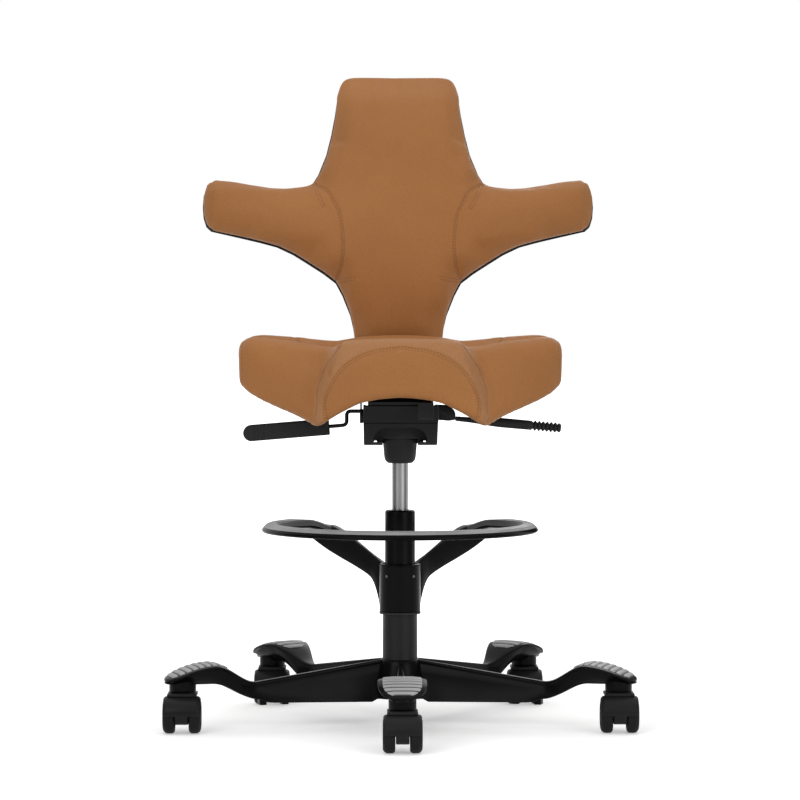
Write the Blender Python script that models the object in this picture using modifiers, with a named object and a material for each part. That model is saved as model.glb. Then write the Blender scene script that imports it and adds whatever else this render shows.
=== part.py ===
"""Saddle chair on a five-leg base with step pads, castors, a foot ring and a winged backrest.

Metres, +Z up. The origin is on the floor under the column, and the sitter faces -Y.
"""

import math

import bmesh
import bpy
from mathutils import Matrix, Vector

# Shared clearances and counts
GAP = 0.0003
OVERRUN = 0.004
ROUND_STEPS = 20
AXLE_STEPS = 16
SMALL_STEPS = 12
GROOVE_STEPS = 6
MERGE = 0.00001

# Castors
CASTOR_COUNT = 5
WHEEL_RADIUS = 0.025
WHEEL_WIDTH = 0.017
WHEEL_SPACING = 0.020
WHEEL_EDGE = 0.002
WHEEL_DISH = 0.003
WHEEL_HUB_RADIUS = 0.009
WHEEL_BORE_DEPTH = 0.013
WHEEL_STEPS = 16
CASTOR_AXLE_RADIUS = 0.003
CASTOR_TRAIL = 0.020
HOOD_CLEARANCE = 0.0012
HOOD_WALL = 0.0026
TONGUE_CLEARANCE = 0.0008
HOOD_TONGUE_WIDTH = WHEEL_SPACING - TONGUE_CLEARANCE * 2
HOOD_TONGUE_RADIUS = WHEEL_RADIUS / 2
HOOD_CROWN = 0.0065
HOOD_TOP = WHEEL_RADIUS * 2 + HOOD_CROWN
HOOD_TOP_WIDTH = 0.042
HOOD_FRONT = 0.0175
HOOD_BOSS_RADIUS = 0.0145
STEM_RADIUS = 0.0055
STEM_DEPTH = 0.0225
STEM_BOTTOM = HOOD_TOP - STEM_DEPTH
STEM_REACH = 0.0185
STEM_COLLAR_RADIUS = 0.0088
STEM_COLLAR_HEIGHT = 0.0026

# Five-leg base. A leg's places are measured back from the castor stem, which it carries near its tip.
STEM_CIRCLE = 0.3255
TIP_OVERHANG = 0.0256
STEP_WIDEST_BACK = 0.0250
HUMP_BACK = 0.0410
VALLEY_BACK = 0.1084
TIP_REACH = STEM_CIRCLE + TIP_OVERHANG
STEP_WIDEST_REACH = STEM_CIRCLE - STEP_WIDEST_BACK
HUMP_REACH = STEM_CIRCLE - HUMP_BACK
VALLEY_REACH = STEM_CIRCLE - VALLEY_BACK
SOCKET_CLEARANCE = 0.0035
SOCKET_RADIUS = 0.0190
SOCKET_HEIGHT = 0.0120
SOCKET_BOTTOM = HOOD_TOP + SOCKET_CLEARANCE
SOCKET_TOP = SOCKET_BOTTOM + SOCKET_HEIGHT
STEM_TOP = SOCKET_BOTTOM + STEM_REACH
LEG_FLOOR = 0.0375
HUB_HEIGHT = 0.0558
HUB_TOP = LEG_FLOOR + HUB_HEIGHT
HUB_RIM_RADIUS = 0.0290
HUB_FOOT_RADIUS = 0.0390
VALLEY_HEIGHT = 0.0300
VALLEY_TOP = LEG_FLOOR + VALLEY_HEIGHT
VALLEY_FLOOR = LEG_FLOOR + VALLEY_HEIGHT / 5
HUMP_RISE = 0.0260
HUMP_TOP = SOCKET_TOP + HUMP_RISE
HUMP_THICKNESS = 0.0285
HUMP_FLOOR = HUMP_TOP - HUMP_THICKNESS
TIP_RISE = 0.0034
TIP_TOP = SOCKET_TOP + TIP_RISE
RIDGE_WIDTH = 0.0065
FOOT_WIDTH = 0.030
KEEL_WIDTH = 0.026
STEP_WIDTH = 0.068
RIM_HEIGHT = 0.0065
RIM_UNDERCUT = 0.0055
RIM_ROUND = 0.0035
LEG_STEP_COUNT = 4
GLIDE_BACKS = (0.1175, 0.1505)
GLIDE_LENGTH = 0.014
GLIDE_WIDTH = 0.010
GLIDE_DROP = 0.0035

# Step pads
PAD_BACK = 0.0235
PAD_MARGIN = 0.0041
PAD_REACH = STEM_CIRCLE - PAD_BACK
PAD_LENGTH = (TIP_REACH - PAD_REACH - PAD_MARGIN) * 2
PAD_WIDTH = 0.054
PAD_THICKNESS = 0.0016
PAD_RIB_COUNT = 9
PAD_RIB_HEIGHT = 0.0013

# Column
COLUMN_RADIUS = 0.0250
COLUMN_WALL = 0.0030
COLUMN_LIFT = 0.0025
COLUMN_BOTTOM = LEG_FLOOR + COLUMN_LIFT
COLUMN_HEIGHT = 0.1890
COLUMN_TOP = COLUMN_BOTTOM + COLUMN_HEIGHT
COLUMN_FLOOR_INSET = 0.0060
COLUMN_FLOOR_BOTTOM = COLUMN_BOTTOM + COLUMN_FLOOR_INSET
COLUMN_FLOOR = 0.0030
SLEEVE_STANDS = 0.0800
SLEEVE_LENGTH = 0.1840
SLEEVE_TOP = COLUMN_TOP + SLEEVE_STANDS
SLEEVE_BOTTOM = SLEEVE_TOP - SLEEVE_LENGTH
SLEEVE_CHAMFER = 0.0022
CLIP_RADIUS = 0.0100
CLIP_THICKNESS = 0.0016
BEARING_RADIUS = 0.0115
BEARING_HEIGHT = 0.0060

# Gas spring, between the column's floor and the mechanism
GAS_STROKE_SPARE = 0.0030
ROD_RADIUS = 0.0050
ROD_GROOVE_DEPTH = 0.0010
ROD_TAIL = 0.0020
ROD_SHOULDER_RADIUS = 0.0085
ROD_SHOULDER_HEIGHT = 0.0030
PISTON_INSET = 0.0090
PISTON_HEIGHT = 0.0080
ROD_TOP = SLEEVE_TOP - PISTON_INSET
CYLINDER_RADIUS = 0.0116
CYLINDER_WALL = 0.0016
CYLINDER_BOTTOM = SLEEVE_BOTTOM + GAS_STROKE_SPARE
CYLINDER_CAP = 0.0060
VALVE_RADIUS = 0.0040
BUTTON_LENGTH = 0.0250

# Foot ring. Its hub slides on the column, and everything else is measured from the hub.
RING_HUB_RADIUS = 0.0300
RING_HUB_BOTTOM = 0.1620
RING_HUB_HEIGHT = 0.0690
RING_HUB_TOP = RING_HUB_BOTTOM + RING_HUB_HEIGHT
RING_RADIUS = 0.2000
RING_RISE = 0.0575
RING_TOP = RING_HUB_TOP + RING_RISE
RING_HEIGHT = 0.0128
RING_FRONT_WIDTH = 0.0230
RING_REAR_WIDTH = 0.0580
RING_OPENING_DEG = 82.0
RING_WIDENING_DEG = 48.0
RING_STATIONS = 26
RING_ROUND = 0.0050
TREAD_MARGIN = 0.0035
TREAD_THICKNESS = 0.0018
TREAD_RIB_HEIGHT = 0.0012
TREAD_RIB_COUNT = 4
BUSH_WALL = 0.0019
BUSH_FLANGE = 0.0027
ARM_THICKNESS = 0.0170
ARM_INSET = 0.0220
ARM_TOP_INSET = 0.0500
ARM_REACH = RING_RADIUS - ARM_INSET
ARM_TOP_REACH = RING_RADIUS - ARM_TOP_INSET
ARM_ELBOW_REACH = 0.0580
ARM_ROOT_RISE = 0.0080
ARM_ELBOW_RISE = 0.0500
ARM_CROTCH_RISE = 0.0640
ARM_OUTER_DROP = 0.0232
ARM_ROOT_HEIGHT = RING_HUB_BOTTOM + ARM_ROOT_RISE
ARM_ELBOW_HEIGHT = RING_HUB_BOTTOM + ARM_ELBOW_RISE
ARM_CROTCH_HEIGHT = RING_HUB_BOTTOM + ARM_CROTCH_RISE
ARM_OUTER_HEIGHT = RING_TOP - ARM_OUTER_DROP
RING_SCREW_RADIUS = 0.0021
RING_SCREW_DROP = 0.0167
RING_SCREW_HEIGHT = RING_HUB_TOP - RING_SCREW_DROP
RING_SCREW_DEG = 40.0
RING_SCREW_LENGTH = 0.0018

# Tilt mechanism, stacked up from the underside of its housing
HOUSING_BOTTOM = 0.4050
HOUSING_HALF_WIDTH = 0.0532
HOUSING_DRAFT = 0.0010
HOUSING_FRONT = -0.0560
HOUSING_REAR = 0.0720
HOUSING_WALL = 0.0032
DECK_RISE = 0.0250
HOUSING_DECK = HOUSING_BOTTOM + DECK_RISE
HOUSING_DECK_THICKNESS = 0.0040
AXLE_RISE = 0.0140
AXLE_COVER = 0.0140
TILT_AXIS_Y = -0.0300
TILT_AXIS_HEIGHT = HOUSING_DECK + HOUSING_DECK_THICKNESS + AXLE_RISE
TILT_AXLE_RADIUS = 0.0045
HOUSING_FRONT_TOP = TILT_AXIS_HEIGHT + AXLE_COVER
BOOT_DROP = 0.0270
BOOT_BOTTOM = HOUSING_BOTTOM - BOOT_DROP
BOOT_RADIUS = 0.0214
BOOT_SHOULDER_RADIUS = 0.0243
BOOT_SHOULDER_DROP = 0.0065
BOOT_COLLAR_RADIUS = 0.0258
BOOT_COVER = 0.0010
BOOT_TOP = HOUSING_DECK - BOOT_COVER
BOOT_SHOULDER_HEIGHT = BOOT_TOP - BOOT_SHOULDER_DROP
BOOT_ROUND = 0.0050
ARCH_HALF_WIDTH = 0.0394
ARCH_SILL_HEIGHT = 0.0040
ARCH_SILL = HOUSING_BOTTOM + ARCH_SILL_HEIGHT
NOTCH_MARGIN = 0.0015
SLOT_X = 0.0357
SLOT_WIDTH = 0.0050
SLOT_HEIGHT = 0.0022
CYLINDER_STANDS = 0.0090
CYLINDER_TOP = HOUSING_DECK + HOUSING_DECK_THICKNESS + CYLINDER_STANDS
BUTTON_STANDS = 0.0065
BUTTON_TOP = CYLINDER_TOP + BUTTON_STANDS
SPRING_PLACE = 0.0400
SPRING_RADIUS = 0.0115
SPRING_WIRE_RADIUS = 0.0016
SPRING_TURNS = 3.0
SPRING_POINTS_PER_TURN = 10
CARRIER_CLEARANCE = 0.0035
CARRIER_HALF_WIDTH = HOUSING_HALF_WIDTH - HOUSING_WALL - CARRIER_CLEARANCE
CARRIER_FRONT = -0.1000
CARRIER_REAR = 0.1300
CARRIER_RISE = 0.0160
CARRIER_HEIGHT = TILT_AXIS_HEIGHT + CARRIER_RISE
CARRIER_THICKNESS = 0.0040
CARRIER_EAR_THICKNESS = 0.0040
CARRIER_EAR_LENGTH = 0.0260
CARRIER_EAR_DROP = 0.0080

# Controls
LEVER_WIRE_RADIUS = 0.0025
LEVER_Y = 0.0000
LEVER_RISE = 0.0219
LEVER_PIVOT_HEIGHT = HOUSING_DECK + LEVER_RISE
LEVER_JOG_OUT = 0.0240
LEVER_BOSS_RADIUS = 0.0107
LEVER_BOSS_REACH = 0.0050
LEVER_BOSS_DROP = 0.0055
LEVER_JOG_X = -HOUSING_HALF_WIDTH - LEVER_JOG_OUT
LEVER_JOG_DROP = 0.0200
LEVER_LOW_HEIGHT = LEVER_PIVOT_HEIGHT - LEVER_JOG_DROP
LEVER_JOG_ROUND = 0.0050
LEVER_RUN = 0.0420
LEVER_OUTER_X = LEVER_JOG_X - LEVER_RUN
PADDLE_GRASP = 0.0150
PADDLE_INNER_X = LEVER_OUTER_X + PADDLE_GRASP
PADDLE_LENGTH = 0.1230
PADDLE_HEIGHT = 0.0225
PADDLE_THICKNESS = 0.0190
PADDLE_SLOPE_DEG = 4.7
PADDLE_GROOVES = 3
PADDLE_END_STEPS = 6
PADDLE_GROOVE_PITCH = 0.0048
PADDLE_GROOVE_DEPTH = 0.0008
HANDLE_SLOPE_DEG = 5.1
HANDLE_LENGTH = 0.1540
HANDLE_RISE = 0.0120
HANDLE_HEIGHT = HOUSING_DECK + HANDLE_RISE
HANDLE_RADIUS = 0.0068
HANDLE_NECK_RADIUS = 0.0034
HANDLE_NECK_LENGTH = 0.0560
HANDLE_GRIP_RADIUS = 0.0072
HANDLE_RIB_COUNT = 7
HANDLE_RIB_PITCH = 0.0058
HANDLE_RIB_DEPTH = 0.0022
HANDLE_SHAFT_RADIUS = 0.0026
HANDLE_SHAFT_LENGTH = 0.0100
HANDLE_BORE_PLAY = 0.0008
SIDE_COVER_REACH = 0.0262
SIDE_COVER_DROP = 0.0048
SIDE_COVER_HEIGHT = 0.0226
SIDE_COVER_DEPTH = 0.0300
SIDE_COVER_ROUND = 0.0120
DEPTH_LEVER_DROP = 0.0250
DEPTH_LEVER_THICKNESS = 0.0046
DEPTH_LEVER_WIDTH = 0.0220

# Saddle seat, standing on the carrier
RUNNER_WIDTH = 0.0160
RUNNER_SPACING = 0.0720
RUNNER_LENGTH = 0.1500
RUNNER_HEIGHT = 0.0116
SHELL_THICKNESS = 0.0100
SHELL_MARGIN = 0.0260
SHELL_BOTTOM = CARRIER_HEIGHT + CARRIER_THICKNESS + GAP + RUNNER_HEIGHT
SEAT_BASE = SHELL_BOTTOM + SHELL_THICKNESS + GAP * 2
SEAT_CROWN = 0.0715
SEAT_TOP = SEAT_BASE + SEAT_CROWN
SEAT_TIP_DROP = 0.0545
SEAT_TIP_HEIGHT = SEAT_BASE - SEAT_TIP_DROP
SEAT_HALF_WIDTH = 0.2342
SEAT_NOSE = -0.1930
SEAT_REAR = 0.1750
SEAT_DISH = 0.0180

# Backrest, carried by the bar that rises behind the seat
BACK_RISE = 0.0660
BACK_BOTTOM = CARRIER_HEIGHT + BACK_RISE
BACK_HALF_WIDTH = 0.2977
BACK_HEIGHT = 0.4204
BACK_CLEARANCE = 0.0130
LUMBAR_Y = SEAT_REAR + BACK_CLEARANCE
BACK_WRAP = 0.55
BACK_THICKNESS = 0.0450
BACK_RIM = 0.0200
BACK_CROWN_WIDTH = 0.0380
BACK_SHELL_THICKNESS = 0.0080
BACK_SHELL_LIP = 0.0022
BACK_FIT = 0.0006
BACK_GRID = 0.0350
BACK_INSETS = (0.0050, 0.0110, 0.0200)

# Back bar, slider and knob
BAR_WIDTH = 0.0460
BAR_THICKNESS = 0.0070
BAR_FRONT = 0.0100
FORK_REACH = 0.0590
BAR_BACK = LUMBAR_Y + BACK_THICKNESS + BACK_SHELL_THICKNESS + FORK_REACH
BAR_BEND_RADIUS = 0.0350
BAR_BEND_STEPS = 5
FORK_WIDTH = 0.0350
FORK_STEPS = 5
SLIDER_RISE = 0.0750
SLIDER_BOTTOM = BACK_BOTTOM + SLIDER_RISE
SLIDER_HEIGHT = 0.0900
SLIDER_WALL = 0.0050
SLIDER_WIDTH = 0.0640
BAR_SPARE = 0.0650
BAR_TOP = SLIDER_BOTTOM + SLIDER_HEIGHT + BAR_SPARE
KNOB_HEIGHT = SLIDER_BOTTOM + SLIDER_HEIGHT / 2
KNOB_RADIUS = 0.0210
KNOB_DEPTH = 0.0200
KNOB_STANDS = 0.0655
KNOB_REAR = BAR_BACK + SLIDER_WALL + KNOB_STANDS
KNOB_STEM_RADIUS = 0.0045


def clear_scene():
    for obj in list(bpy.data.objects):
        bpy.data.objects.remove(obj, do_unlink=True)


def new_collection(name):
    collection = bpy.data.collections.new(name)
    bpy.context.scene.collection.children.link(collection)
    return collection


clear_scene()
CHAIR = new_collection("saddle_chair")
CUTTERS = new_collection("cutters")
CUTTERS.hide_render = True


def material(name, colour, roughness, metallic=0.0):
    """A plain surface: colour, roughness and metallic value."""
    made = bpy.data.materials.new(name)
    made.use_nodes = True
    surface = made.node_tree.nodes["Principled BSDF"]
    surface.inputs["Base Color"].default_value = (*colour, 1.0)
    surface.inputs["Roughness"].default_value = roughness
    surface.inputs["Metallic"].default_value = metallic
    return made


LEATHER = material("tan_leather", (0.34, 0.155, 0.053), 0.5)
GLOSS_BLACK = material("gloss_black_plastic", (0.010, 0.010, 0.010), 0.25)
MATTE_BLACK = material("matte_black_plastic", (0.017, 0.017, 0.017), 0.55)
BLACK_PAINT = material("black_painted_steel", (0.018, 0.018, 0.018), 0.4)
GREY_PAD = material("grey_rubber", (0.30, 0.30, 0.30), 0.6)
DARK_TREAD = material("dark_grey_rubber", (0.10, 0.10, 0.10), 0.6)
BRIGHT_STEEL = material("bright_steel", (0.55, 0.55, 0.56), 0.25, 1.0)


def object_from(bm, name, smooth_deg=35.0):
    """A new object of the chair, with its faces turned out and round faces shaded smooth."""
    bmesh.ops.recalc_face_normals(bm, faces=bm.faces)
    mesh = bpy.data.meshes.new(name)
    bm.to_mesh(mesh)
    bm.free()
    mesh.shade_smooth()
    mesh.set_sharp_from_angle(angle=math.radians(smooth_deg))
    obj = bpy.data.objects.new(name, mesh)
    CHAIR.objects.link(obj)
    return obj


def carried(obj, parent):
    """Lets the object move with the parent, left where it is."""
    if parent is not None:
        bpy.context.view_layer.update()
        obj.parent = parent
        obj.matrix_parent_inverse = parent.matrix_world.inverted()
    return obj


def dress(obj, surface, parent=None):
    """Gives the object its material and the empty that it moves with."""
    obj.data.materials.clear()
    obj.data.materials.append(surface)
    return carried(obj, parent)


def pivot(name, place, direction=(0, 0, 1), parent=None):
    """An empty on a joint's axis, its own Z along the axis."""
    empty = bpy.data.objects.new(name, None)
    CHAIR.objects.link(empty)
    empty.location = place
    empty.rotation_mode = "QUATERNION"
    empty.rotation_quaternion = Vector((0, 0, 1)).rotation_difference(Vector(direction))
    return carried(empty, parent)


def flatten(obj):
    """Replaces the object's mesh by what its modifiers make of it."""
    graph = bpy.context.evaluated_depsgraph_get()
    mesh = bpy.data.meshes.new_from_object(obj.evaluated_get(graph))
    obj.modifiers.clear()
    old = obj.data
    if obj.type == "MESH":
        obj.data = mesh
        bpy.data.meshes.remove(old)
        return obj
    bm = bmesh.new()
    bm.from_mesh(mesh)
    bmesh.ops.remove_doubles(bm, verts=bm.verts, dist=MERGE)
    made = object_from(bm, obj.name + "_solid")
    made.matrix_world = obj.matrix_world
    name = obj.name
    bpy.data.objects.remove(obj, do_unlink=True)
    made.name = name
    return made


def turned(name, profile, steps=ROUND_STEPS, closed=False, start_deg=0.0):
    """A turned solid about Z. The profile of (radius, height) runs down its outer side."""
    mesh = bpy.data.meshes.new(name)
    points = [(radius, 0, height) for radius, height in profile]
    edges = [(i, i + 1) for i in range(len(points) - 1)]
    if closed:
        edges.append((len(points) - 1, 0))
    mesh.from_pydata(points, edges, [])
    obj = bpy.data.objects.new(name, mesh)
    CHAIR.objects.link(obj)
    turn = obj.modifiers.new("turn", "SCREW")
    turn.axis = "Z"
    turn.steps = turn.render_steps = steps
    turn.use_merge_vertices = True
    turn.merge_threshold = MERGE
    flatten(obj)
    bm = bmesh.new()
    bm.from_mesh(obj.data)
    bpy.data.objects.remove(obj, do_unlink=True)
    bmesh.ops.remove_doubles(bm, verts=bm.verts, dist=MERGE)
    if start_deg:
        spin = Matrix.Rotation(math.radians(start_deg), 4, "Z")
        bmesh.ops.transform(bm, matrix=spin, verts=bm.verts)
    return object_from(bm, name)


def ring(name, outer, inner, bottom, top, steps=ROUND_STEPS, chamfer=0.0):
    """A plain sleeve or washer, with its outer top edge chamfered if asked."""
    profile = [(outer - chamfer, top)] if chamfer else []
    profile += [(outer, top - chamfer), (outer, bottom), (inner, bottom), (inner, top)]
    return turned(name, profile, steps, closed=True)


def rod(name, radius, start, end, steps=SMALL_STEPS):
    """A round bar between two points."""
    start, end = Vector(start), Vector(end)
    bm = bmesh.new()
    length = (end - start).length
    bmesh.ops.create_cone(bm, cap_ends=True, segments=steps, radius1=radius, radius2=radius, depth=length)
    turn = Vector((0, 0, 1)).rotation_difference(end - start).to_matrix().to_4x4()
    bmesh.ops.transform(bm, matrix=Matrix.Translation((start + end) / 2) @ turn, verts=bm.verts)
    return object_from(bm, name)


def round_clear(radius, steps=ROUND_STEPS):
    """Radius of a faceted bore whose flats clear a turning piece of this radius."""
    return radius / math.cos(math.pi / steps)


def block(name, low, high):
    """A box between two corners."""
    low, high = Vector(low), Vector(high)
    bm = bmesh.new()
    bmesh.ops.create_cube(bm, size=1.0)
    bmesh.ops.scale(bm, vec=high - low, verts=bm.verts)
    bmesh.ops.translate(bm, vec=(low + high) / 2, verts=bm.verts)
    return object_from(bm, name)


def bevelled(obj, width, segments=2, limit_deg=40.0):
    """Rounds the object's sharp edges."""
    bevel = obj.modifiers.new("bevel", "BEVEL")
    bevel.width = width
    bevel.segments = segments
    bevel.limit_method = "ANGLE"
    bevel.angle_limit = math.radians(limit_deg)
    return flatten(obj)


def plate(name, outline, thickness, across, up, place=(0, 0, 0)):
    """A flat outline of (across, up) points, given thickness both ways from its plane."""
    curve = bpy.data.curves.new(name, "CURVE")
    curve.dimensions = "2D"
    curve.fill_mode = "BOTH"
    curve.extrude = thickness / 2
    spline = curve.splines.new("POLY")
    spline.points.add(len(outline) - 1)
    for point, (a, b) in zip(spline.points, outline):
        point.co = (a, b, 0, 1)
    spline.use_cyclic_u = True
    obj = bpy.data.objects.new(name, curve)
    CHAIR.objects.link(obj)
    across, up = Vector(across), Vector(up)
    frame = Matrix((across, up, across.cross(up))).transposed().to_4x4()
    obj.matrix_world = Matrix.Translation(place) @ frame
    bpy.context.view_layer.update()
    made = flatten(obj)
    made.data.transform(made.matrix_world)
    made.matrix_world = Matrix.Identity(4)
    return made


def wire(name, points, radius, resolution=1):
    """A round wire along a line of points, with closed ends."""
    curve = bpy.data.curves.new(name, "CURVE")
    curve.dimensions = "3D"
    curve.bevel_depth = radius
    curve.bevel_resolution = resolution
    curve.use_fill_caps = True
    spline = curve.splines.new("POLY")
    spline.points.add(len(points) - 1)
    for point, place in zip(spline.points, points):
        point.co = (*place, 1)
    obj = bpy.data.objects.new(name, curve)
    CHAIR.objects.link(obj)
    return flatten(obj)


def rounded(rows, closed=False):
    """Rows of numbers with one more row between each two, on a smooth curve through them all."""
    made = []
    count = len(rows)
    for i, row in enumerate(rows):
        made.append(tuple(row))
        if i == count - 1 and not closed:
            continue
        before = rows[i - 1] if i or closed else row
        after = rows[(i + 1) % count]
        beyond = rows[(i + 2) % count] if closed or i + 2 < count else after
        made.append(tuple((9 * (b + c) - a - d) / 16 for a, b, c, d in zip(before, row, after, beyond)))
    return made


def loft(name, sections, smooth_deg=35.0):
    """A solid through closed sections that all have the same number of points."""
    bm = bmesh.new()
    rings = [[bm.verts.new(point) for point in section] for section in sections]
    count = len(sections[0])
    for near, far in zip(rings, rings[1:]):
        for i in range(count):
            j = (i + 1) % count
            bm.faces.new((near[i], near[j], far[j], far[i]))
    bm.faces.new(list(reversed(rings[0])))
    bm.faces.new(rings[-1])
    return object_from(bm, name, smooth_deg)


def combine(obj, other, operation="DIFFERENCE"):
    """Cuts or joins the object with another one, which is then removed."""
    for collection in list(other.users_collection):
        collection.objects.unlink(other)
    CUTTERS.objects.link(other)
    other.display_type = "WIRE"
    bpy.context.view_layer.update()
    step = obj.modifiers.new("combine", "BOOLEAN")
    step.operation = operation
    step.object = other
    step.solver = "EXACT"
    flatten(obj)
    bpy.data.objects.remove(other, do_unlink=True)
    return obj


def copied(mesh_owner, name, place=(0, 0, 0), turn_deg=0.0):
    """Another object with the same mesh, turned about Z and moved."""
    obj = bpy.data.objects.new(name, mesh_owner.data)
    CHAIR.objects.link(obj)
    obj.matrix_world = Matrix.Translation(place) @ Matrix.Rotation(math.radians(turn_deg), 4, "Z")
    return obj


def blend(low, high, share):
    return low + (high - low) * share


def ease(share):
    return share * share * (3 - 2 * share)


# Base: the casting and its step pads
def leg_top(reach):
    """Height of a leg's top line, from the hub down to the valley and over the step's hump."""
    if reach < VALLEY_REACH:
        share = (reach - HUB_RIM_RADIUS) / (VALLEY_REACH - HUB_RIM_RADIUS)
        return blend(HUB_TOP, VALLEY_TOP, share)
    if reach < HUMP_REACH:
        return blend(VALLEY_TOP, HUMP_TOP, ease((reach - VALLEY_REACH) / (HUMP_REACH - VALLEY_REACH)))
    return blend(HUMP_TOP, TIP_TOP, ((reach - HUMP_REACH) / (TIP_REACH - HUMP_REACH)) ** 1.8)


def leg_floor(reach):
    """Height of a leg's underside."""
    if reach < VALLEY_REACH:
        share = max(0.0, (reach - VALLEY_REACH + FOOT_WIDTH / 2) / (FOOT_WIDTH / 2))
        return blend(LEG_FLOOR, VALLEY_FLOOR, share)
    if reach < HUMP_REACH:
        return blend(VALLEY_FLOOR, HUMP_FLOOR, ease((reach - VALLEY_REACH) / (HUMP_REACH - VALLEY_REACH)))
    return blend(HUMP_FLOOR, TIP_TOP - RIM_HEIGHT, ((reach - HUMP_REACH) / (TIP_REACH - HUMP_REACH)) ** 2)


def leg_half_width(reach):
    """Half the width of a leg's top: a narrow ridge that opens into the rounded step."""
    if reach < VALLEY_REACH:
        return RIDGE_WIDTH / 2
    if reach < STEP_WIDEST_REACH:
        share = (reach - VALLEY_REACH) / (STEP_WIDEST_REACH - VALLEY_REACH)
        return blend(RIDGE_WIDTH, STEP_WIDTH, math.sin(share * math.pi / 2) ** 1.3) / 2
    share = (reach - STEP_WIDEST_REACH) / (TIP_REACH - STEP_WIDEST_REACH)
    return STEP_WIDTH / 2 * math.sqrt(max(0.0, 1 - share ** 2.4))


def leg_section(reach):
    """One closed section across a leg that runs along +X."""
    top, floor, half = leg_top(reach), leg_floor(reach), leg_half_width(reach)
    if reach > STEP_WIDEST_REACH:
        half = max(half, RIM_ROUND * 2.4)
    opening = min(1.0, max(0.0, (reach - VALLEY_REACH) / (HUMP_REACH - VALLEY_REACH)))
    keel = min(blend(FOOT_WIDTH, KEEL_WIDTH, opening) / 2, half + FOOT_WIDTH / 2 * (1 - opening))
    keel = min(keel, half * 0.9) if opening == 1.0 else keel
    edge = min(RIM_ROUND, half / 4)
    rim = min(RIM_HEIGHT, (top - floor) / 2)
    neck = min(max(half - RIM_UNDERCUT, half / 2), blend(half * 1.6, half, opening))
    right = [
        (keel, floor),
        (blend(keel, neck, 0.7), blend(floor, top - rim, 0.6)),
        (neck, top - rim * 1.1),
        (half, top - rim * 0.8),
        (half - edge, top),
    ]
    left = [(-y, z) for y, z in reversed(right)]
    return [(reach, y, z) for y, z in right + left]


def leg(name):
    """A leg along +X, from inside the hub to the tip of its step."""
    reaches = [HUB_RIM_RADIUS * 0.8, HUB_FOOT_RADIUS * 1.6]
    reaches += [blend(VALLEY_REACH - FOOT_WIDTH / 2, VALLEY_REACH, i) for i in (0.0, 1.0)]
    reaches += [blend(VALLEY_REACH, HUMP_REACH, i / LEG_STEP_COUNT) for i in range(1, LEG_STEP_COUNT + 1)]
    reaches += [STEP_WIDEST_REACH]
    for i in range(1, LEG_STEP_COUNT + 1):
        share = math.sin(i * math.pi / 2 / LEG_STEP_COUNT)
        reaches.append(blend(STEP_WIDEST_REACH, TIP_REACH, share))
    obj = loft(name, [leg_section(reach) for reach in reaches])
    socket = rod("socket", SOCKET_RADIUS, (STEM_CIRCLE, 0, SOCKET_BOTTOM), (STEM_CIRCLE, 0, SOCKET_TOP), 16)
    combine(obj, socket, "UNION")
    for back in GLIDE_BACKS:
        reach = STEM_CIRCLE - back
        low = (reach - GLIDE_WIDTH / 2, -GLIDE_LENGTH / 2, LEG_FLOOR - GLIDE_DROP)
        high = (reach + GLIDE_WIDTH / 2, GLIDE_LENGTH / 2, LEG_FLOOR + OVERRUN * 2)
        combine(obj, block("glide", low, high), "UNION")
    bore_top = STEM_TOP + GAP * 2
    bore_low = (STEM_CIRCLE, 0, SOCKET_BOTTOM - OVERRUN)
    bore = rod("stem_bore", STEM_RADIUS + GAP, bore_low, (STEM_CIRCLE, 0, bore_top))
    return combine(obj, bore)


def leg_angles():
    return [-90 + i * 360 / CASTOR_COUNT for i in range(CASTOR_COUNT)]


def make_star_base():
    hub_shoulder = HUB_TOP - RIM_HEIGHT
    hub = turned(
        "star_base",
        [
            (0, HUB_TOP),
            (HUB_RIM_RADIUS - RIM_ROUND / 2, HUB_TOP),
            (HUB_RIM_RADIUS, HUB_TOP - RIM_ROUND / 2),
            (HUB_RIM_RADIUS + RIM_ROUND / 2, hub_shoulder),
            (HUB_FOOT_RADIUS, LEG_FLOOR + RIM_HEIGHT * 2),
            (HUB_FOOT_RADIUS, LEG_FLOOR),
            (0, LEG_FLOOR),
        ],
    )
    arm = leg("leg")
    for angle in leg_angles():
        turned_leg = copied(arm, "leg_copy")
        turned_leg.data = arm.data.copy()
        turned_leg.data.transform(Matrix.Rotation(math.radians(angle), 4, "Z"))
        combine(hub, turned_leg, "UNION")
    bpy.data.objects.remove(arm, do_unlink=True)
    low = (0, 0, LEG_FLOOR - OVERRUN)
    bore = rod("hub_bore", COLUMN_RADIUS + GAP, low, (0, 0, HUB_TOP + OVERRUN), ROUND_STEPS)
    combine(hub, bore)
    dress(hub, GLOSS_BLACK)


def pad_section(reach, rib_share):
    """A section across a pad that lies on the leg's top, higher on a rib."""
    middle, half_length = PAD_REACH, PAD_LENGTH / 2
    share = abs(reach - middle) / half_length
    half = PAD_WIDTH / 2 * max(0.5, math.sqrt(max(0.0, 1 - share ** 2.2)))
    half = min(half, leg_half_width(reach) - RIM_ROUND - GAP)
    low = leg_top(reach) + GAP
    high = low + PAD_THICKNESS + PAD_RIB_HEIGHT * rib_share
    edge = PAD_RIB_HEIGHT
    right = [(half, low), (half, high - edge), (half - edge, high)]
    return [(reach, y, z) for y, z in right + [(-y, z) for y, z in reversed(right)]]


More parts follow.
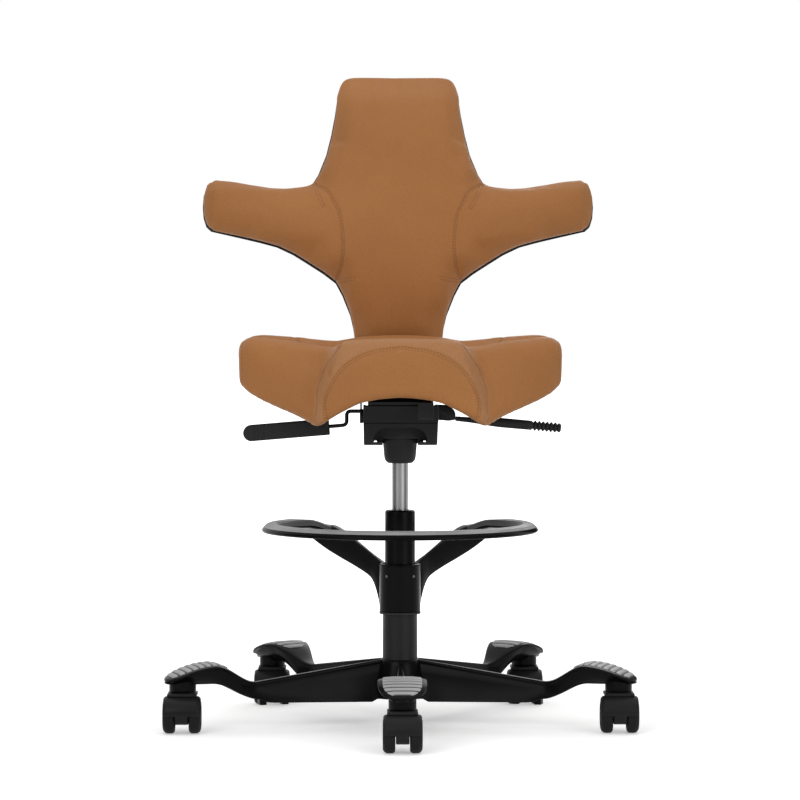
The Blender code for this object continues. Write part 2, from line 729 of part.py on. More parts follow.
def make_step_pads():
    start = PAD_REACH - PAD_LENGTH / 2
    pitch = PAD_LENGTH / PAD_RIB_COUNT
    sections = []
    for i in range(PAD_RIB_COUNT):
        for share, rib in ((0.1, 0.0), (0.35, 1.0), (0.8, 1.0)):
            sections.append(pad_section(start + pitch * (i + share), rib))
    pad = loft("step_pad_1", sections)
    for number, angle in enumerate(leg_angles(), 1):
        piece = pad if number == 1 else copied(pad, f"step_pad_{number}")
        piece.matrix_world = Matrix.Rotation(math.radians(angle), 4, "Z")
        dress(piece, GREY_PAD)


# Castors
def castor_hood():
    """The hood over both wheels, behind its stem at the origin, with its tongue between the wheels."""
    cover_radius = WHEEL_RADIUS + HOOD_CLEARANCE + HOOD_WALL
    tongue = rod(
        "castor_hood",
        HOOD_TONGUE_RADIUS,
        (-HOOD_TONGUE_WIDTH / 2, CASTOR_TRAIL, WHEEL_RADIUS),
        (HOOD_TONGUE_WIDTH / 2, CASTOR_TRAIL, WHEEL_RADIUS),
        SMALL_STEPS,
    )
    web_low = (-HOOD_TONGUE_WIDTH / 2, -HOOD_FRONT + HOOD_WALL, WHEEL_RADIUS - HOOD_TONGUE_RADIUS / 2)
    web_high = (HOOD_TONGUE_WIDTH / 2, CASTOR_TRAIL + HOOD_TONGUE_RADIUS / 2, HOOD_TOP - HOOD_WALL * 2)
    combine(tongue, block("web", web_low, web_high), "UNION")
    half = HOOD_TOP_WIDTH / 2
    cover = plate("cover", hood_outline(cover_radius), half * 2, (0, 1, 0), (0, 0, 1))
    boss_low = HOOD_TOP - HOOD_BOSS_RADIUS
    combine(cover, rod("boss", HOOD_BOSS_RADIUS, (0, 0, boss_low), (0, 0, HOOD_TOP)), "UNION")
    span = WHEEL_SPACING / 2 + WHEEL_WIDTH + OVERRUN
    for side in (-1, 1):
        cut = rod(
            "wheel_space",
            WHEEL_RADIUS + HOOD_CLEARANCE,
            (side * HOOD_TONGUE_WIDTH / 2, CASTOR_TRAIL, WHEEL_RADIUS),
            (side * span, CASTOR_TRAIL, WHEEL_RADIUS),
            WHEEL_STEPS,
        )
        combine(cover, cut)
    combine(tongue, cover, "UNION")
    combine(tongue, plate("face", hood_face(), WHEEL_RADIUS * 5, (1, 0, 0), (0, 0, 1)), "INTERSECT")
    stem_hole = rod("stem_hole", STEM_RADIUS + GAP, (0, 0, STEM_BOTTOM - GAP), (0, 0, HOOD_TOP + OVERRUN))
    combine(tongue, stem_hole)
    axle_hole = rod(
        "axle_hole",
        CASTOR_AXLE_RADIUS + GAP,
        (-half, CASTOR_TRAIL, WHEEL_RADIUS),
        (half, CASTOR_TRAIL, WHEEL_RADIUS),
    )
    return combine(tongue, axle_hole)


def hood_outline(radius):
    """The hood's side view: an arc over the wheels that turns down in front of the stem."""
    points = []
    for i in range(6):
        angle = math.radians(blend(38, 108, i / 5))
        points.append((CASTOR_TRAIL + radius * math.cos(angle), WHEEL_RADIUS + radius * math.sin(angle)))
    points += [
        (-HOOD_BOSS_RADIUS * 0.8, HOOD_TOP),
        (-HOOD_FRONT, HOOD_TOP - HOOD_WALL * 2),
        (-HOOD_FRONT * 1.04, WHEEL_RADIUS + HOOD_WALL * 3),
        (-HOOD_FRONT * 0.9, WHEEL_RADIUS - HOOD_WALL),
        (-HOOD_FRONT * 0.45, WHEEL_RADIUS - HOOD_WALL * 2),
    ]
    return points


def hood_face():
    """The hood's front view: full width above, drawn in to the tongue below."""
    half, tongue = HOOD_TOP_WIDTH / 2, HOOD_TONGUE_WIDTH / 2
    bottom = WHEEL_RADIUS - HOOD_TONGUE_RADIUS
    right = [(tongue * 0.55, bottom - HOOD_WALL / 2), (tongue * 0.95, bottom + HOOD_WALL)]
    for i in range(3):
        angle = math.pi / 2 * i / 2
        x = blend(half, tongue * 0.95, math.cos(angle))
        right.append((x, blend(bottom + HOOD_WALL * 2, WHEEL_RADIUS + HOOD_TONGUE_RADIUS, math.sin(angle))))
    right.append((half, HOOD_TOP + OVERRUN))
    return right + [(-x, z) for x, z in reversed(right)]


def castor_wheel():
    """One wheel about Z with its outer face up, and a blind bore from below."""
    rim = WHEEL_RADIUS / math.cos(math.pi / WHEEL_STEPS)
    bore = CASTOR_AXLE_RADIUS + GAP
    half = WHEEL_WIDTH / 2
    return turned(
        "castor_wheel",
        [
            (0, half - WHEEL_DISH / 2),
            (WHEEL_HUB_RADIUS, half - WHEEL_DISH / 2),
            (WHEEL_HUB_RADIUS + WHEEL_EDGE, half - WHEEL_DISH),
            (rim - WHEEL_EDGE * 1.2, half),
            (rim, half - WHEEL_EDGE),
            (rim, -half + WHEEL_EDGE),
            (rim - WHEEL_EDGE, -half),
            (bore, -half),
            (bore, -half + WHEEL_BORE_DEPTH),
            (0, -half + WHEEL_BORE_DEPTH),
        ],
        WHEEL_STEPS,
        start_deg=180 / WHEEL_STEPS,
    )


def castor_stem():
    collar_low = HOOD_TOP + GAP
    collar_high = collar_low + STEM_COLLAR_HEIGHT
    chamfer = STEM_COLLAR_HEIGHT / 3
    return turned(
        "castor_stem",
        [
            (0, STEM_TOP),
            (STEM_RADIUS - chamfer, STEM_TOP),
            (STEM_RADIUS, STEM_TOP - chamfer),
            (STEM_RADIUS, collar_high),
            (STEM_COLLAR_RADIUS, collar_high),
            (STEM_COLLAR_RADIUS, collar_low),
            (STEM_RADIUS, collar_low),
            (STEM_RADIUS, STEM_BOTTOM),
            (0, STEM_BOTTOM),
        ],
        SMALL_STEPS - 2,
    )


def make_castors():
    hood, wheel, stem = castor_hood(), castor_wheel(), castor_stem()
    reach = WHEEL_SPACING / 2 + WHEEL_BORE_DEPTH - GAP
    far = (reach, CASTOR_TRAIL, WHEEL_RADIUS)
    axle = rod("castor_axle", CASTOR_AXLE_RADIUS, (-reach, CASTOR_TRAIL, WHEEL_RADIUS), far)
    for number, angle in enumerate(leg_angles(), 1):
        x = STEM_CIRCLE * math.cos(math.radians(angle))
        y = STEM_CIRCLE * math.sin(math.radians(angle))
        swivel = pivot(f"castor_{number}_swivel", (x, y, 0))
        for master, part, surface in (
            (hood, "hood", MATTE_BLACK),
            (stem, "stem", BRIGHT_STEEL),
            (axle, "axle", BRIGHT_STEEL),
        ):
            dress(copied(master, f"castor_{number}_{part}", (x, y, 0), 180), surface, swivel)
        for side, word in ((-1, "left"), (1, "right")):
            piece = copied(wheel, f"castor_{number}_wheel_{word}")
            middle = side * (WHEEL_SPACING + WHEEL_WIDTH) / 2
            turn = Matrix.Rotation(math.radians(90 * side), 4, "Y")
            piece.matrix_world = Matrix.Translation((x + middle, y - CASTOR_TRAIL, WHEEL_RADIUS)) @ turn
            dress(piece, MATTE_BLACK, swivel)
    for master in (hood, wheel, stem, axle):
        bpy.data.objects.remove(master, do_unlink=True)


# Column and gas spring
def make_column():
    bore = COLUMN_RADIUS - COLUMN_WALL
    rod_hole = ROD_RADIUS + GAP
    floor_top = COLUMN_FLOOR_BOTTOM + COLUMN_FLOOR
    tube = turned(
        "column_tube",
        [
            (COLUMN_RADIUS, COLUMN_TOP),
            (COLUMN_RADIUS, COLUMN_BOTTOM),
            (bore, COLUMN_BOTTOM),
            (bore, COLUMN_FLOOR_BOTTOM),
            (rod_hole, COLUMN_FLOOR_BOTTOM),
            (rod_hole, floor_top),
            (bore, floor_top),
            (bore, COLUMN_TOP),
        ],
        closed=True,
    )
    dress(tube, BLACK_PAINT)
    sleeve = ring(
        "guide_sleeve",
        bore - GAP,
        CYLINDER_RADIUS + GAP,
        SLEEVE_BOTTOM,
        SLEEVE_TOP,
        chamfer=SLEEVE_CHAMFER,
    )
    dress(sleeve, GLOSS_BLACK)
    clip_top = COLUMN_FLOOR_BOTTOM - GAP
    clip_bore = ROD_RADIUS - ROD_GROOVE_DEPTH + GAP
    clip = ring("column_clip", CLIP_RADIUS, clip_bore, clip_top - CLIP_THICKNESS, clip_top, SMALL_STEPS)
    dress(clip, BRIGHT_STEEL)
    bearing_low = floor_top + GAP
    bearing = ring("thrust_bearing", BEARING_RADIUS, rod_hole, bearing_low, bearing_low + BEARING_HEIGHT, 16)
    dress(bearing, BRIGHT_STEEL)


def make_gas_spring():
    seat = COLUMN_FLOOR_BOTTOM + COLUMN_FLOOR + GAP * 2 + BEARING_HEIGHT
    groove_top = COLUMN_FLOOR_BOTTOM
    groove_low = groove_top - CLIP_THICKNESS - GAP * 2
    bore = CYLINDER_RADIUS - CYLINDER_WALL
    piston = bore - GAP
    swivel = pivot("seat_swivel", (0, 0, 0))
    lift = pivot("seat_height", (0, 0, 0), parent=swivel)
    piston_rod = turned(
        "piston_rod",
        [
            (0, ROD_TOP),
            (piston, ROD_TOP),
            (piston, ROD_TOP - PISTON_HEIGHT),
            (ROD_RADIUS, ROD_TOP - PISTON_HEIGHT),
            (ROD_RADIUS, seat + ROD_SHOULDER_HEIGHT),
            (ROD_SHOULDER_RADIUS, seat + ROD_SHOULDER_HEIGHT),
            (ROD_SHOULDER_RADIUS, seat),
            (ROD_RADIUS, seat),
            (ROD_RADIUS, groove_top),
            (ROD_RADIUS - ROD_GROOVE_DEPTH, groove_top),
            (ROD_RADIUS - ROD_GROOVE_DEPTH, groove_low),
            (ROD_RADIUS, groove_low),
            (ROD_RADIUS, groove_low - ROD_TAIL),
            (0, groove_low - ROD_TAIL),
        ],
        16,
    )
    dress(piston_rod, BRIGHT_STEEL, swivel)
    cylinder = turned(
        "gas_cylinder",
        [
            (CYLINDER_RADIUS - SLEEVE_CHAMFER, CYLINDER_TOP),
            (CYLINDER_RADIUS, CYLINDER_TOP - SLEEVE_CHAMFER),
            (CYLINDER_RADIUS, CYLINDER_BOTTOM),
            (ROD_RADIUS + GAP, CYLINDER_BOTTOM),
            (ROD_RADIUS + GAP, CYLINDER_BOTTOM + CYLINDER_CAP),
            (bore, CYLINDER_BOTTOM + CYLINDER_CAP),
            (bore, CYLINDER_TOP - CYLINDER_CAP * 3),
            (VALVE_RADIUS + GAP, CYLINDER_TOP - CYLINDER_CAP * 3),
            (VALVE_RADIUS + GAP, CYLINDER_TOP),
        ],
        closed=True,
    )
    dress(cylinder, BRIGHT_STEEL, lift)
    button = rod("release_button", VALVE_RADIUS, (0, 0, BUTTON_TOP - BUTTON_LENGTH), (0, 0, BUTTON_TOP))
    dress(button, BRIGHT_STEEL, lift)
    return lift


# Foot ring
def ring_width(share):
    """Width of the band at a share of the way from its front middle to a rear end."""
    half_arc = (360 - RING_OPENING_DEG) / 2
    start = 1 - RING_WIDENING_DEG / half_arc
    return blend(RING_FRONT_WIDTH, RING_REAR_WIDTH, ease(max(0.0, (share - start) / (1 - start))))


def ring_sections(profile):
    """Sections of a band along the foot ring; the profile gives (across, height) points for a width."""
    half_arc = math.radians(360 - RING_OPENING_DEG) / 2
    sections = []
    for i in range(RING_STATIONS + 1):
        share = 2 * i / RING_STATIONS - 1
        angle = -math.pi / 2 + share * half_arc
        end = max(0.0, (abs(share) * RING_STATIONS / 2 - RING_STATIONS / 2 + 1))
        width = ring_width(abs(share)) * (1 - 0.16 * end)
        outward = Vector((math.cos(angle), math.sin(angle), 0))
        sections.append([outward * (RING_RADIUS - a) + Vector((0, 0, z)) for a, z in profile(width)])
    return sections


def rail_profile(width):
    top, low = RING_TOP, RING_TOP - RING_HEIGHT
    third = RING_ROUND / 3
    return [
        (RING_ROUND / 2, top),
        (0, top - RING_ROUND),
        (third, low + third),
        (RING_ROUND, low),
        (width - RING_ROUND, low),
        (width - third, low + third),
        (width, top - third),
        (width - third * 2, top),
    ]


def tread_profile(width):
    low = RING_TOP + GAP
    start, stop = TREAD_MARGIN, width - TREAD_MARGIN
    points = [(start, low)]
    for i in range(TREAD_RIB_COUNT):
        near = blend(start, stop, (i + 0.1) / TREAD_RIB_COUNT)
        far = blend(start, stop, (i + 0.7) / TREAD_RIB_COUNT)
        points += [(near, low + TREAD_THICKNESS + TREAD_RIB_HEIGHT), (far, low + TREAD_THICKNESS)]
    points.append((stop, low))
    return points


def ring_arm_outline():
    """Side view of an arm as (reach, height), from the hub up to the ring's rear end."""
    under = RING_TOP - RING_HEIGHT
    inner = RING_HUB_RADIUS * 0.93
    return [
        (inner, ARM_ROOT_HEIGHT),
        (RING_HUB_RADIUS + ARM_THICKNESS / 3, blend(ARM_ROOT_HEIGHT, ARM_ELBOW_HEIGHT, 0.5)),
        (blend(RING_HUB_RADIUS, ARM_ELBOW_REACH, 0.6), blend(ARM_ROOT_HEIGHT, ARM_ELBOW_HEIGHT, 0.8)),
        (ARM_ELBOW_REACH, ARM_ELBOW_HEIGHT),
        (ARM_REACH, ARM_OUTER_HEIGHT),
        (ARM_REACH, under + RING_ROUND),
        (ARM_TOP_REACH - RING_ROUND, under + RING_ROUND),
        (blend(ARM_ELBOW_REACH, ARM_TOP_REACH, 0.3), blend(ARM_CROTCH_HEIGHT, under, 0.58)),
        (inner, ARM_CROTCH_HEIGHT),
    ]


def make_footring():
    level = pivot("footring_height", (0, 0, 0))
    ring_turn = pivot("footring_turn", (0, 0, 0), parent=level)
    bush_outer = COLUMN_RADIUS + GAP + BUSH_WALL
    flange_low = RING_HUB_BOTTOM - GAP - BUSH_FLANGE
    bush = turned(
        "footring_bush",
        [
            (bush_outer, RING_HUB_TOP - GAP),
            (bush_outer, RING_HUB_BOTTOM - GAP),
            (RING_HUB_RADIUS, RING_HUB_BOTTOM - GAP),
            (RING_HUB_RADIUS, flange_low),
            (COLUMN_RADIUS + GAP, flange_low),
            (COLUMN_RADIUS + GAP, RING_HUB_TOP - GAP),
        ],
        closed=True,
    )
    dress(bush, MATTE_BLACK, level)
    frame = loft("footring_frame", ring_sections(rail_profile))
    half_opening = math.radians(RING_OPENING_DEG / 2)
    for side in (-1, 1):
        reach = RING_RADIUS - RING_REAR_WIDTH / 2
        angle = math.atan2(math.cos(half_opening) * reach, side * (math.sin(half_opening) * reach))
        angle += side * math.radians(RING_OPENING_DEG / 2) * -0.12
        across = Vector((math.cos(angle), math.sin(angle), 0))
        arm = plate("arm", ring_arm_outline(), ARM_THICKNESS, across, (0, 0, 1))
        combine(frame, bevelled(arm, ARM_THICKNESS / 6, 1), "UNION")
    hub = turned(
        "hub",
        [
            (0, RING_HUB_TOP),
            (RING_HUB_RADIUS - RING_ROUND / 3, RING_HUB_TOP),
            (RING_HUB_RADIUS, RING_HUB_TOP - RING_ROUND / 3),
            (RING_HUB_RADIUS, RING_HUB_BOTTOM),
            (0, RING_HUB_BOTTOM),
        ],
    )
    combine(frame, hub, "UNION")
    bore = rod(
        "ring_bore",
        round_clear(bush_outer) + GAP,
        (0, 0, RING_HUB_BOTTOM - OVERRUN),
        (0, 0, RING_HUB_TOP + OVERRUN),
        ROUND_STEPS,
    )
    combine(frame, bore)
    for side, word in ((-1, "left"), (1, "right")):
        angle = math.radians(-90 + side * RING_SCREW_DEG)
        outward = Vector((math.cos(angle), math.sin(angle), 0))
        height = Vector((0, 0, RING_SCREW_HEIGHT))
        floor = outward * (RING_HUB_RADIUS - RING_SCREW_LENGTH / 2) + height
        hole = rod("screw_hole", RING_SCREW_RADIUS + GAP, floor, floor + outward * OVERRUN)
        combine(frame, hole)
        low = floor + outward * GAP
        high = low + outward * RING_SCREW_LENGTH * 0.6
        screw = rod(f"footring_screw_{word}", RING_SCREW_RADIUS, low, high)
        dress(screw, BRIGHT_STEEL, ring_turn)
    dress(frame, GLOSS_BLACK, ring_turn)
    dress(loft("footring_tread", ring_sections(tread_profile)), DARK_TREAD, ring_turn)


# Tilt mechanism
def make_housing(lift):
    """The open-topped housing, arched over the taper boot, with its controls' bosses on the sides."""
    half = HOUSING_HALF_WIDTH
    side_view = [
        (HOUSING_FRONT, HOUSING_BOTTOM),
        (HOUSING_REAR, HOUSING_BOTTOM),
        (HOUSING_REAR, TILT_AXIS_HEIGHT),
        (TILT_AXIS_Y + TILT_AXLE_RADIUS * 3, HOUSING_FRONT_TOP),
        (HOUSING_FRONT, HOUSING_FRONT_TOP),
    ]
    housing = plate("tilt_housing", side_view, half * 2, (0, 1, 0), (0, 0, 1))
    bevelled(housing, HOUSING_WALL * 0.7, 2, 50)
    for vert in housing.data.vertices:
        share = min(1.0, (HOUSING_FRONT_TOP - vert.co.z) / (HOUSING_FRONT_TOP - HOUSING_BOTTOM))
        vert.co.x *= 1 - share * HOUSING_DRAFT / half
    combine(housing, side_cover(), "UNION")
    boss_height = LEVER_PIVOT_HEIGHT - LEVER_BOSS_DROP
    boss_start = (-half + HOUSING_WALL, LEVER_Y, boss_height)
    boss_end = (-half - LEVER_BOSS_REACH, LEVER_Y, boss_height)
    lever_boss = rod("lever_boss", LEVER_BOSS_RADIUS, boss_start, boss_end, ROUND_STEPS)
    combine(housing, bevelled(lever_boss, LEVER_BOSS_REACH / 4, 1), "UNION")
    deck_top = HOUSING_DECK + HOUSING_DECK_THICKNESS
    inner = half - HOUSING_WALL - HOUSING_DRAFT
    well_low = (-inner, HOUSING_FRONT + HOUSING_WALL, deck_top)
    well_high = (inner, HOUSING_REAR - HOUSING_WALL, HOUSING_FRONT_TOP + OVERRUN)
    combine(housing, block("well", well_low, well_high))
    notch = BOOT_COLLAR_RADIUS + NOTCH_MARGIN
    recess_front = HOUSING_FRONT - OVERRUN
    middle = (0, (notch + recess_front) / 2, 0)
    recess = plate("recess", arch_outline(), notch - recess_front, (1, 0, 0), (0, 0, 1), middle)
    combine(housing, recess)
    low = (-notch, recess_front, HOUSING_BOTTOM - OVERRUN)
    combine(housing, block("notch", low, (notch, notch, ARCH_SILL + GAP)))
    for side in (-1, 1):
        edges = sorted((side * (SLOT_X - SLOT_WIDTH / 2), side * (SLOT_X + SLOT_WIDTH / 2)))
        slot_low = (edges[0], 0, ARCH_SILL + GAP)
        slot_high = (edges[1], HOUSING_REAR + OVERRUN, ARCH_SILL + GAP + SLOT_HEIGHT)
        combine(housing, block("slot", slot_low, slot_high))
    low = (0, 0, HOUSING_BOTTOM - OVERRUN)
    combine(housing, rod("boot_pocket", BOOT_COLLAR_RADIUS + GAP, low, (0, 0, BOOT_TOP + GAP), ROUND_STEPS))
    boss = turned(
        "boss",
        [
            (0, deck_top - GAP),
            (BOOT_COLLAR_RADIUS + HOUSING_WALL * 2, deck_top - GAP),
            (BOOT_COLLAR_RADIUS + HOUSING_WALL, BOOT_TOP + GAP * 2),
            (0, BOOT_TOP + GAP * 2),
        ],
    )
    combine(housing, boss, "UNION")
    for name, radius, start, end, steps in housing_bores():
        combine(housing, rod(name, radius, start, end, steps))
    dress(housing, MATTE_BLACK, lift)


def side_cover():
    """The rounded cover on the right side, over the tension shaft."""
    low = HANDLE_HEIGHT - SIDE_COVER_DROP
    near, far = HOUSING_HALF_WIDTH - HOUSING_WALL, HOUSING_HALF_WIDTH + SIDE_COVER_REACH
    high = low + SIDE_COVER_HEIGHT
    outline = [(near, high), (near, low), (far, low)]
    steps = SMALL_STEPS // 3
    for i in range(steps + 1):
        angle = math.pi / 2 * i / steps
        x = far - SIDE_COVER_ROUND * (1 - math.cos(angle))
        outline.append((x, high - SIDE_COVER_ROUND * (1 - math.sin(angle))))
    cover = plate("side_cover", outline, SIDE_COVER_DEPTH, (1, 0, 0), (0, 0, 1))
    return bevelled(cover, HOUSING_WALL / 2, 1, 60)


def arch_outline():
    """Front view of the recess round the boot: a flat sill under a low arch."""
    outline = [(-ARCH_HALF_WIDTH, ARCH_SILL)]
    rise = HOUSING_DECK - ARCH_SILL
    steps = SMALL_STEPS - SMALL_STEPS // 3
    for i in range(steps + 1):
        angle = math.pi * (1 - i / steps)
        height = ARCH_SILL + rise * (0.45 + 0.5 * math.sin(angle))
        outline.append((ARCH_HALF_WIDTH * math.cos(angle), height))
    outline.append((ARCH_HALF_WIDTH, ARCH_SILL))
    return outline


def housing_bores():
    """Name, radius, ends and facets of each round hole in the housing."""
    half, wall = HOUSING_HALF_WIDTH, HOUSING_WALL + HOUSING_DRAFT
    deck_top = HOUSING_DECK + HOUSING_DECK_THICKNESS
    place, direction = handle_seat()
    return (
        (
            "cylinder_bore",
            CYLINDER_RADIUS + GAP,
            (0, 0, HOUSING_BOTTOM - OVERRUN),
            (0, 0, deck_top + OVERRUN),
            ROUND_STEPS,
        ),
        (
            "tilt_hole",
            TILT_AXLE_RADIUS + GAP,
            (-half - OVERRUN, TILT_AXIS_Y, TILT_AXIS_HEIGHT),
            (half + OVERRUN, TILT_AXIS_Y, TILT_AXIS_HEIGHT),
            AXLE_STEPS,
        ),
        (
            "shaft_hole",
            HANDLE_SHAFT_RADIUS + HANDLE_BORE_PLAY,
            place - direction * (HANDLE_SHAFT_LENGTH + GAP * 2),
            place + direction * OVERRUN,
            SMALL_STEPS,
        ),
        (
            "lever_hole",
            LEVER_WIRE_RADIUS + GAP * 3,
            (-half - LEVER_BOSS_REACH - OVERRUN, LEVER_Y, LEVER_PIVOT_HEIGHT),
            (-half + wall + OVERRUN, LEVER_Y, LEVER_PIVOT_HEIGHT),
            SMALL_STEPS,
        ),
    )


def make_mechanism(lift):
    make_housing(lift)
    boot = turned(
        "taper_boot",
        [
            (BOOT_COLLAR_RADIUS, BOOT_TOP),
            (BOOT_COLLAR_RADIUS, BOOT_SHOULDER_HEIGHT + GAP * 4),
            (BOOT_SHOULDER_RADIUS, BOOT_SHOULDER_HEIGHT),
            (BOOT_RADIUS, BOOT_BOTTOM + BOOT_ROUND),
            (BOOT_RADIUS - BOOT_ROUND / 3, BOOT_BOTTOM + BOOT_ROUND / 3),
            (BOOT_RADIUS - BOOT_ROUND, BOOT_BOTTOM),
            (CYLINDER_RADIUS + GAP, BOOT_BOTTOM),
            (CYLINDER_RADIUS + GAP, BOOT_TOP),
        ],
        closed=True,
    )
    dress(boot, MATTE_BLACK, lift)
    reach = HOUSING_HALF_WIDTH - HOUSING_WALL / 4
    axle = rod(
        "tilt_axle",
        TILT_AXLE_RADIUS,
        (-reach, TILT_AXIS_Y, TILT_AXIS_HEIGHT),
        (reach, TILT_AXIS_Y, TILT_AXIS_HEIGHT),
        AXLE_STEPS,
    )
    dress(axle, BRIGHT_STEEL, lift)
    deck_top = HOUSING_DECK + HOUSING_DECK_THICKNESS
    low = deck_top + GAP + SPRING_WIRE_RADIUS
    high = CARRIER_HEIGHT - GAP - SPRING_WIRE_RADIUS
    count = int(SPRING_TURNS * SPRING_POINTS_PER_TURN)
    path = []
    for i in range(count + 1):
        angle = 2 * math.pi * i / SPRING_POINTS_PER_TURN
        x = SPRING_RADIUS * math.cos(angle)
        y = SPRING_PLACE + SPRING_RADIUS * math.sin(angle)
        path.append((x, y, blend(low, high, i / count)))
    print("tilt_spring least gap", (high - low) / SPRING_TURNS - SPRING_WIRE_RADIUS * 2)
    dress(wire("tilt_spring", path, SPRING_WIRE_RADIUS), BRIGHT_STEEL, lift)
    tilt = pivot("seat_tilt", (0, TILT_AXIS_Y, TILT_AXIS_HEIGHT), (-1, 0, 0), lift)
    make_carrier(tilt)
    return tilt


def make_carrier(tilt):
    """The plate under the seat, with two ears that hang on the tilt axle."""
    top = CARRIER_HEIGHT + CARRIER_THICKNESS
    half = CARRIER_HALF_WIDTH
    carrier = block("seat_carrier", (-half, CARRIER_FRONT, CARRIER_HEIGHT), (half, CARRIER_REAR, top))
    for side in (-1, 1):
        edges = sorted((side * half, side * (half - CARRIER_EAR_THICKNESS)))
        low = (edges[0], TILT_AXIS_Y - CARRIER_EAR_LENGTH / 2, TILT_AXIS_HEIGHT - CARRIER_EAR_DROP)
        high = (edges[1], TILT_AXIS_Y + CARRIER_EAR_LENGTH / 2, CARRIER_HEIGHT + CARRIER_THICKNESS / 2)
        combine(carrier, block("ear", low, high), "UNION")
    span = half + OVERRUN
    hole = rod(
        "ear_hole",
        TILT_AXLE_RADIUS + GAP,
        (-span, TILT_AXIS_Y, TILT_AXIS_HEIGHT),
        (span, TILT_AXIS_Y, TILT_AXIS_HEIGHT),
        AXLE_STEPS,
    )
    combine(carrier, hole)
    dress(carrier, BLACK_PAINT, tilt)


# Controls
def make_height_lever(lift):
    """A cranked wire with a flat paddle, hinged where it enters the housing."""
    entry = -HOUSING_HALF_WIDTH + HOUSING_WALL + LEVER_WIRE_RADIUS * 2
    y = LEVER_Y
    r = LEVER_JOG_ROUND
    slope = math.radians(PADDLE_SLOPE_DEG)
    path = [
        (entry, y, LEVER_PIVOT_HEIGHT),
        (LEVER_JOG_X + r, y, LEVER_PIVOT_HEIGHT),
        (LEVER_JOG_X + r * 0.3, y, LEVER_PIVOT_HEIGHT - r * 0.3),
        (LEVER_JOG_X, y, LEVER_PIVOT_HEIGHT - r),
        (LEVER_JOG_X, y, LEVER_LOW_HEIGHT + r),
        (LEVER_JOG_X - r * 0.3, y, LEVER_LOW_HEIGHT + r * 0.3),
        (LEVER_JOG_X - r, y, LEVER_LOW_HEIGHT),
        (LEVER_OUTER_X, y, LEVER_LOW_HEIGHT - LEVER_RUN * math.tan(slope)),
    ]
    hinge = pivot("height_lever_hinge", (-HOUSING_HALF_WIDTH, y, LEVER_PIVOT_HEIGHT), (0, 1, 0), lift)
    dress(wire("height_lever", path, LEVER_WIRE_RADIUS, 2), MATTE_BLACK, hinge)
    half = PADDLE_HEIGHT / 2
    outline = [(0, -half), (0, half), (-PADDLE_LENGTH + half, half)]
    for i in range(1, PADDLE_END_STEPS):
        angle = math.pi * (0.5 + i / PADDLE_END_STEPS)
        outline.append((-PADDLE_LENGTH + half + half * math.cos(angle), half * math.sin(angle)))
    outline.append((-PADDLE_LENGTH + half, -half))
    across = Vector((math.cos(slope), 0, math.sin(slope)))
    up = Vector((-math.sin(slope), 0, math.cos(slope)))
    root = Vector((PADDLE_INNER_X, y, LEVER_LOW_HEIGHT - (LEVER_JOG_X - PADDLE_INNER_X) * math.tan(slope)))
    paddle = plate("height_paddle", outline, PADDLE_THICKNESS, across, up, root)
    bevelled(paddle, PADDLE_THICKNESS / 5, 1)
    for i in range(PADDLE_GROOVES):
        for side in (-1, 1):
            place = root + across * (-PADDLE_LENGTH + half + PADDLE_GROOVE_PITCH * i)
            place += Vector((0, side * PADDLE_THICKNESS / 2, 0))
            reach = up * half * 0.7
            groove = rod("groove", PADDLE_GROOVE_DEPTH, place - reach, place + reach, GROOVE_STEPS)
            combine(paddle, groove)
    socket_end = Vector(path[-1])
    socket_start = Vector(path[-2])
    direction = (socket_end - socket_start).normalized()
    hole = rod(
        "paddle_hole",
        LEVER_WIRE_RADIUS + GAP,
        socket_end - direction * (PADDLE_THICKNESS + OVERRUN),
        socket_end + direction * GAP,
    )
    combine(paddle, hole)
    dress(paddle, MATTE_BLACK, hinge)


def handle_seat():
    """Where the handle's neck meets the side cover, just clear of its face, and the way it points."""
    slope = math.radians(HANDLE_SLOPE_DEG)
    direction = Vector((math.cos(slope), 0, -math.sin(slope)))
    face = Vector((HOUSING_HALF_WIDTH + SIDE_COVER_REACH, 0, HANDLE_HEIGHT))
    return face + direction * (HANDLE_NECK_RADIUS * math.tan(slope) + GAP), direction


def make_tension_handle(lift):
    """A round handle with a ribbed grip that turns about its own sloping length."""
    profile = [(0, HANDLE_LENGTH)]
    ribs = HANDLE_RIB_COUNT
    for i in range(ribs):
        high = HANDLE_LENGTH - HANDLE_RIB_PITCH * i
        if i == 0:
            profile.append((HANDLE_GRIP_RADIUS * 0.6, high))
            profile.append((HANDLE_GRIP_RADIUS, high - HANDLE_RIB_PITCH * 0.45))
        else:
            profile += [(HANDLE_GRIP_RADIUS, high - HANDLE_RIB_PITCH * 0.3)]
        profile.append((HANDLE_GRIP_RADIUS - HANDLE_RIB_DEPTH, high - HANDLE_RIB_PITCH * 0.95))
    grip_end = HANDLE_LENGTH - HANDLE_RIB_PITCH * ribs
    profile += [
        (HANDLE_RADIUS, grip_end - HANDLE_RIB_PITCH / 2),
        (HANDLE_RADIUS, HANDLE_NECK_LENGTH),
        (HANDLE_NECK_RADIUS, 0),
        (HANDLE_SHAFT_RADIUS, 0),
        (HANDLE_SHAFT_RADIUS, -HANDLE_SHAFT_LENGTH),
        (0, -HANDLE_SHAFT_LENGTH),
    ]
    place, direction = handle_seat()
    hinge = pivot("tension_handle_turn", place, direction, lift)
    handle = turned("tension_handle", profile, SMALL_STEPS - 2)
    turn = Vector((0, 0, 1)).rotation_difference(direction).to_matrix().to_4x4()
    handle.matrix_world = Matrix.Translation(place) @ turn
    dress(handle, MATTE_BLACK, hinge)


